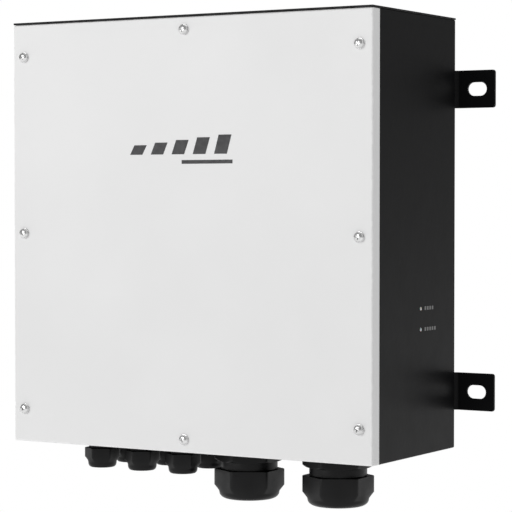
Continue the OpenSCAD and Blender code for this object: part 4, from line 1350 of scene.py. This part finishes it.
def make_wires():
    wires("power_wire_set", "power_wires", "wire_brown", [WIRE_BROWN, WIRE_BLACK, WIRE_GREY, WIRE_BLUE],
          lambda place: place % 4)
    wires("signal_wire_set", "control_wires", "wire_red", [WIRE_RED, WIRE_BLACK, WIRE_GREY],
          lambda place: place % 3)
    wires("earth_wire_set", "earth_wires", "wire_earth", [WIRE_EARTH], lambda place: 0)


# ---------- stage, light and camera ----------


def fading_floor(name):
    """A pale floor that fades into the white surroundings with distance."""
    paint = Paint(name)
    paint.shader.inputs["Base Color"].default_value = (0.86, 0.86, 0.86, 1.0)
    paint.shader.inputs["Roughness"].default_value = 0.8
    reach = paint.node("ShaderNodeVectorMath", operation="LENGTH")
    distances = {"From Min": -0.8, "From Max": 1.9}
    fade = paint.node("ShaderNodeMapRange", distances, interpolation_type="SMOOTHSTEP")
    glow = paint.node("ShaderNodeEmission")
    blend = paint.node("ShaderNodeMixShader")
    paint.join(paint.place, reach.inputs[0])
    paint.join(reach.outputs["Value"], fade.inputs["Value"])
    paint.join(fade.outputs["Result"], blend.inputs["Fac"])
    paint.join(paint.shader.outputs["BSDF"], blend.inputs[1])
    paint.join(glow.outputs["Emission"], blend.inputs[2])
    paint.join(blend.outputs["Shader"], paint.tree.nodes["Material Output"].inputs["Surface"])
    return paint.material


def make_floor():
    drop = 1.6
    size = 30.0
    mesh = bpy.data.meshes.new("floor")
    edge = [(-size, -size, 0), (size, -size, 0), (size, size, 0), (-size, size, 0)]
    mesh.from_pydata(edge, [], [(0, 1, 2, 3)])
    floor = bpy.data.objects.new("floor", mesh)
    floor.location = (0, 0, cad_box[0].z - drop)
    mesh.materials.append(fading_floor("pale_floor"))
    bpy.context.scene.collection.objects.link(floor)


def make_surroundings():
    """White for the camera, and a softer white that lights the object."""
    world = bpy.data.worlds.new("studio")
    bpy.context.scene.world = world
    world.use_nodes = True
    tree = world.node_tree
    soft = tree.nodes["Background"]
    soft.inputs["Color"].default_value = (1.0, 1.0, 1.0, 1.0)
    soft.inputs["Strength"].default_value = 0.28
    white = tree.nodes.new("ShaderNodeBackground")
    white.inputs["Color"].default_value = (1.0, 1.0, 1.0, 1.0)
    rays = tree.nodes.new("ShaderNodeLightPath")
    blend = tree.nodes.new("ShaderNodeMixShader")
    tree.links.new(rays.outputs["Is Camera Ray"], blend.inputs["Fac"])
    tree.links.new(soft.outputs["Background"], blend.inputs[1])
    tree.links.new(white.outputs["Background"], blend.inputs[2])
    tree.links.new(blend.outputs["Shader"], tree.nodes["World Output"].inputs["Surface"])


def softbox(name, spot, target, size, power):
    light = bpy.data.lights.new(name, "AREA")
    light.shape = "RECTANGLE"
    light.size, light.size_y = size
    light.energy = power
    lamp = bpy.data.objects.new(name, light)
    lamp.location = spot
    lamp.rotation_mode = "QUATERNION"
    lamp.rotation_quaternion = (Vector(target) - Vector(spot)).to_track_quat("-Z", "Y")
    bpy.context.scene.collection.objects.link(lamp)


def make_lights():
    centre = (0.0, -0.1, 0.0)
    softbox("key", (-1.6, -3.6, 0.9), centre, (2.2, 2.2), 69.0)
    softbox("side", (2.6, -0.4, 1.2), centre, (1.6, 2.2), 7.0)
    softbox("top", (0.2, -0.4, 2.4), centre, (1.8, 1.4), 6.0)


def make_camera():
    """The photograph's view: a long lens, low and from the right."""
    azimuth, elevation = math.radians(31.0), math.radians(1.6)
    distance = 2.017
    target = Vector((0.0421, -0.1163, -0.0144))
    back = Vector((math.sin(azimuth) * math.cos(elevation), -math.cos(azimuth) * math.cos(elevation),
                   math.sin(elevation)))
    lens_data = bpy.data.cameras.new("camera")
    lens_data.lens = 148.65
    lens_data.sensor_width = 36.0
    camera = bpy.data.objects.new("camera", lens_data)
    camera.location = target + back * distance
    camera.rotation_mode = "QUATERNION"
    camera.rotation_quaternion = (-back).to_track_quat("-Z", "Y")
    bpy.context.scene.collection.objects.link(camera)
    bpy.context.scene.camera = camera
    bpy.context.scene.view_settings.view_transform = "Standard"


make_cover()
make_body()
make_cover_fittings()
make_box_fittings()
make_glands()
make_lamps()
make_back()
make_breakers()
make_contactors()
make_terminals()
make_board()
make_wires()

make_floor()
make_surroundings()
make_lights()
make_camera()
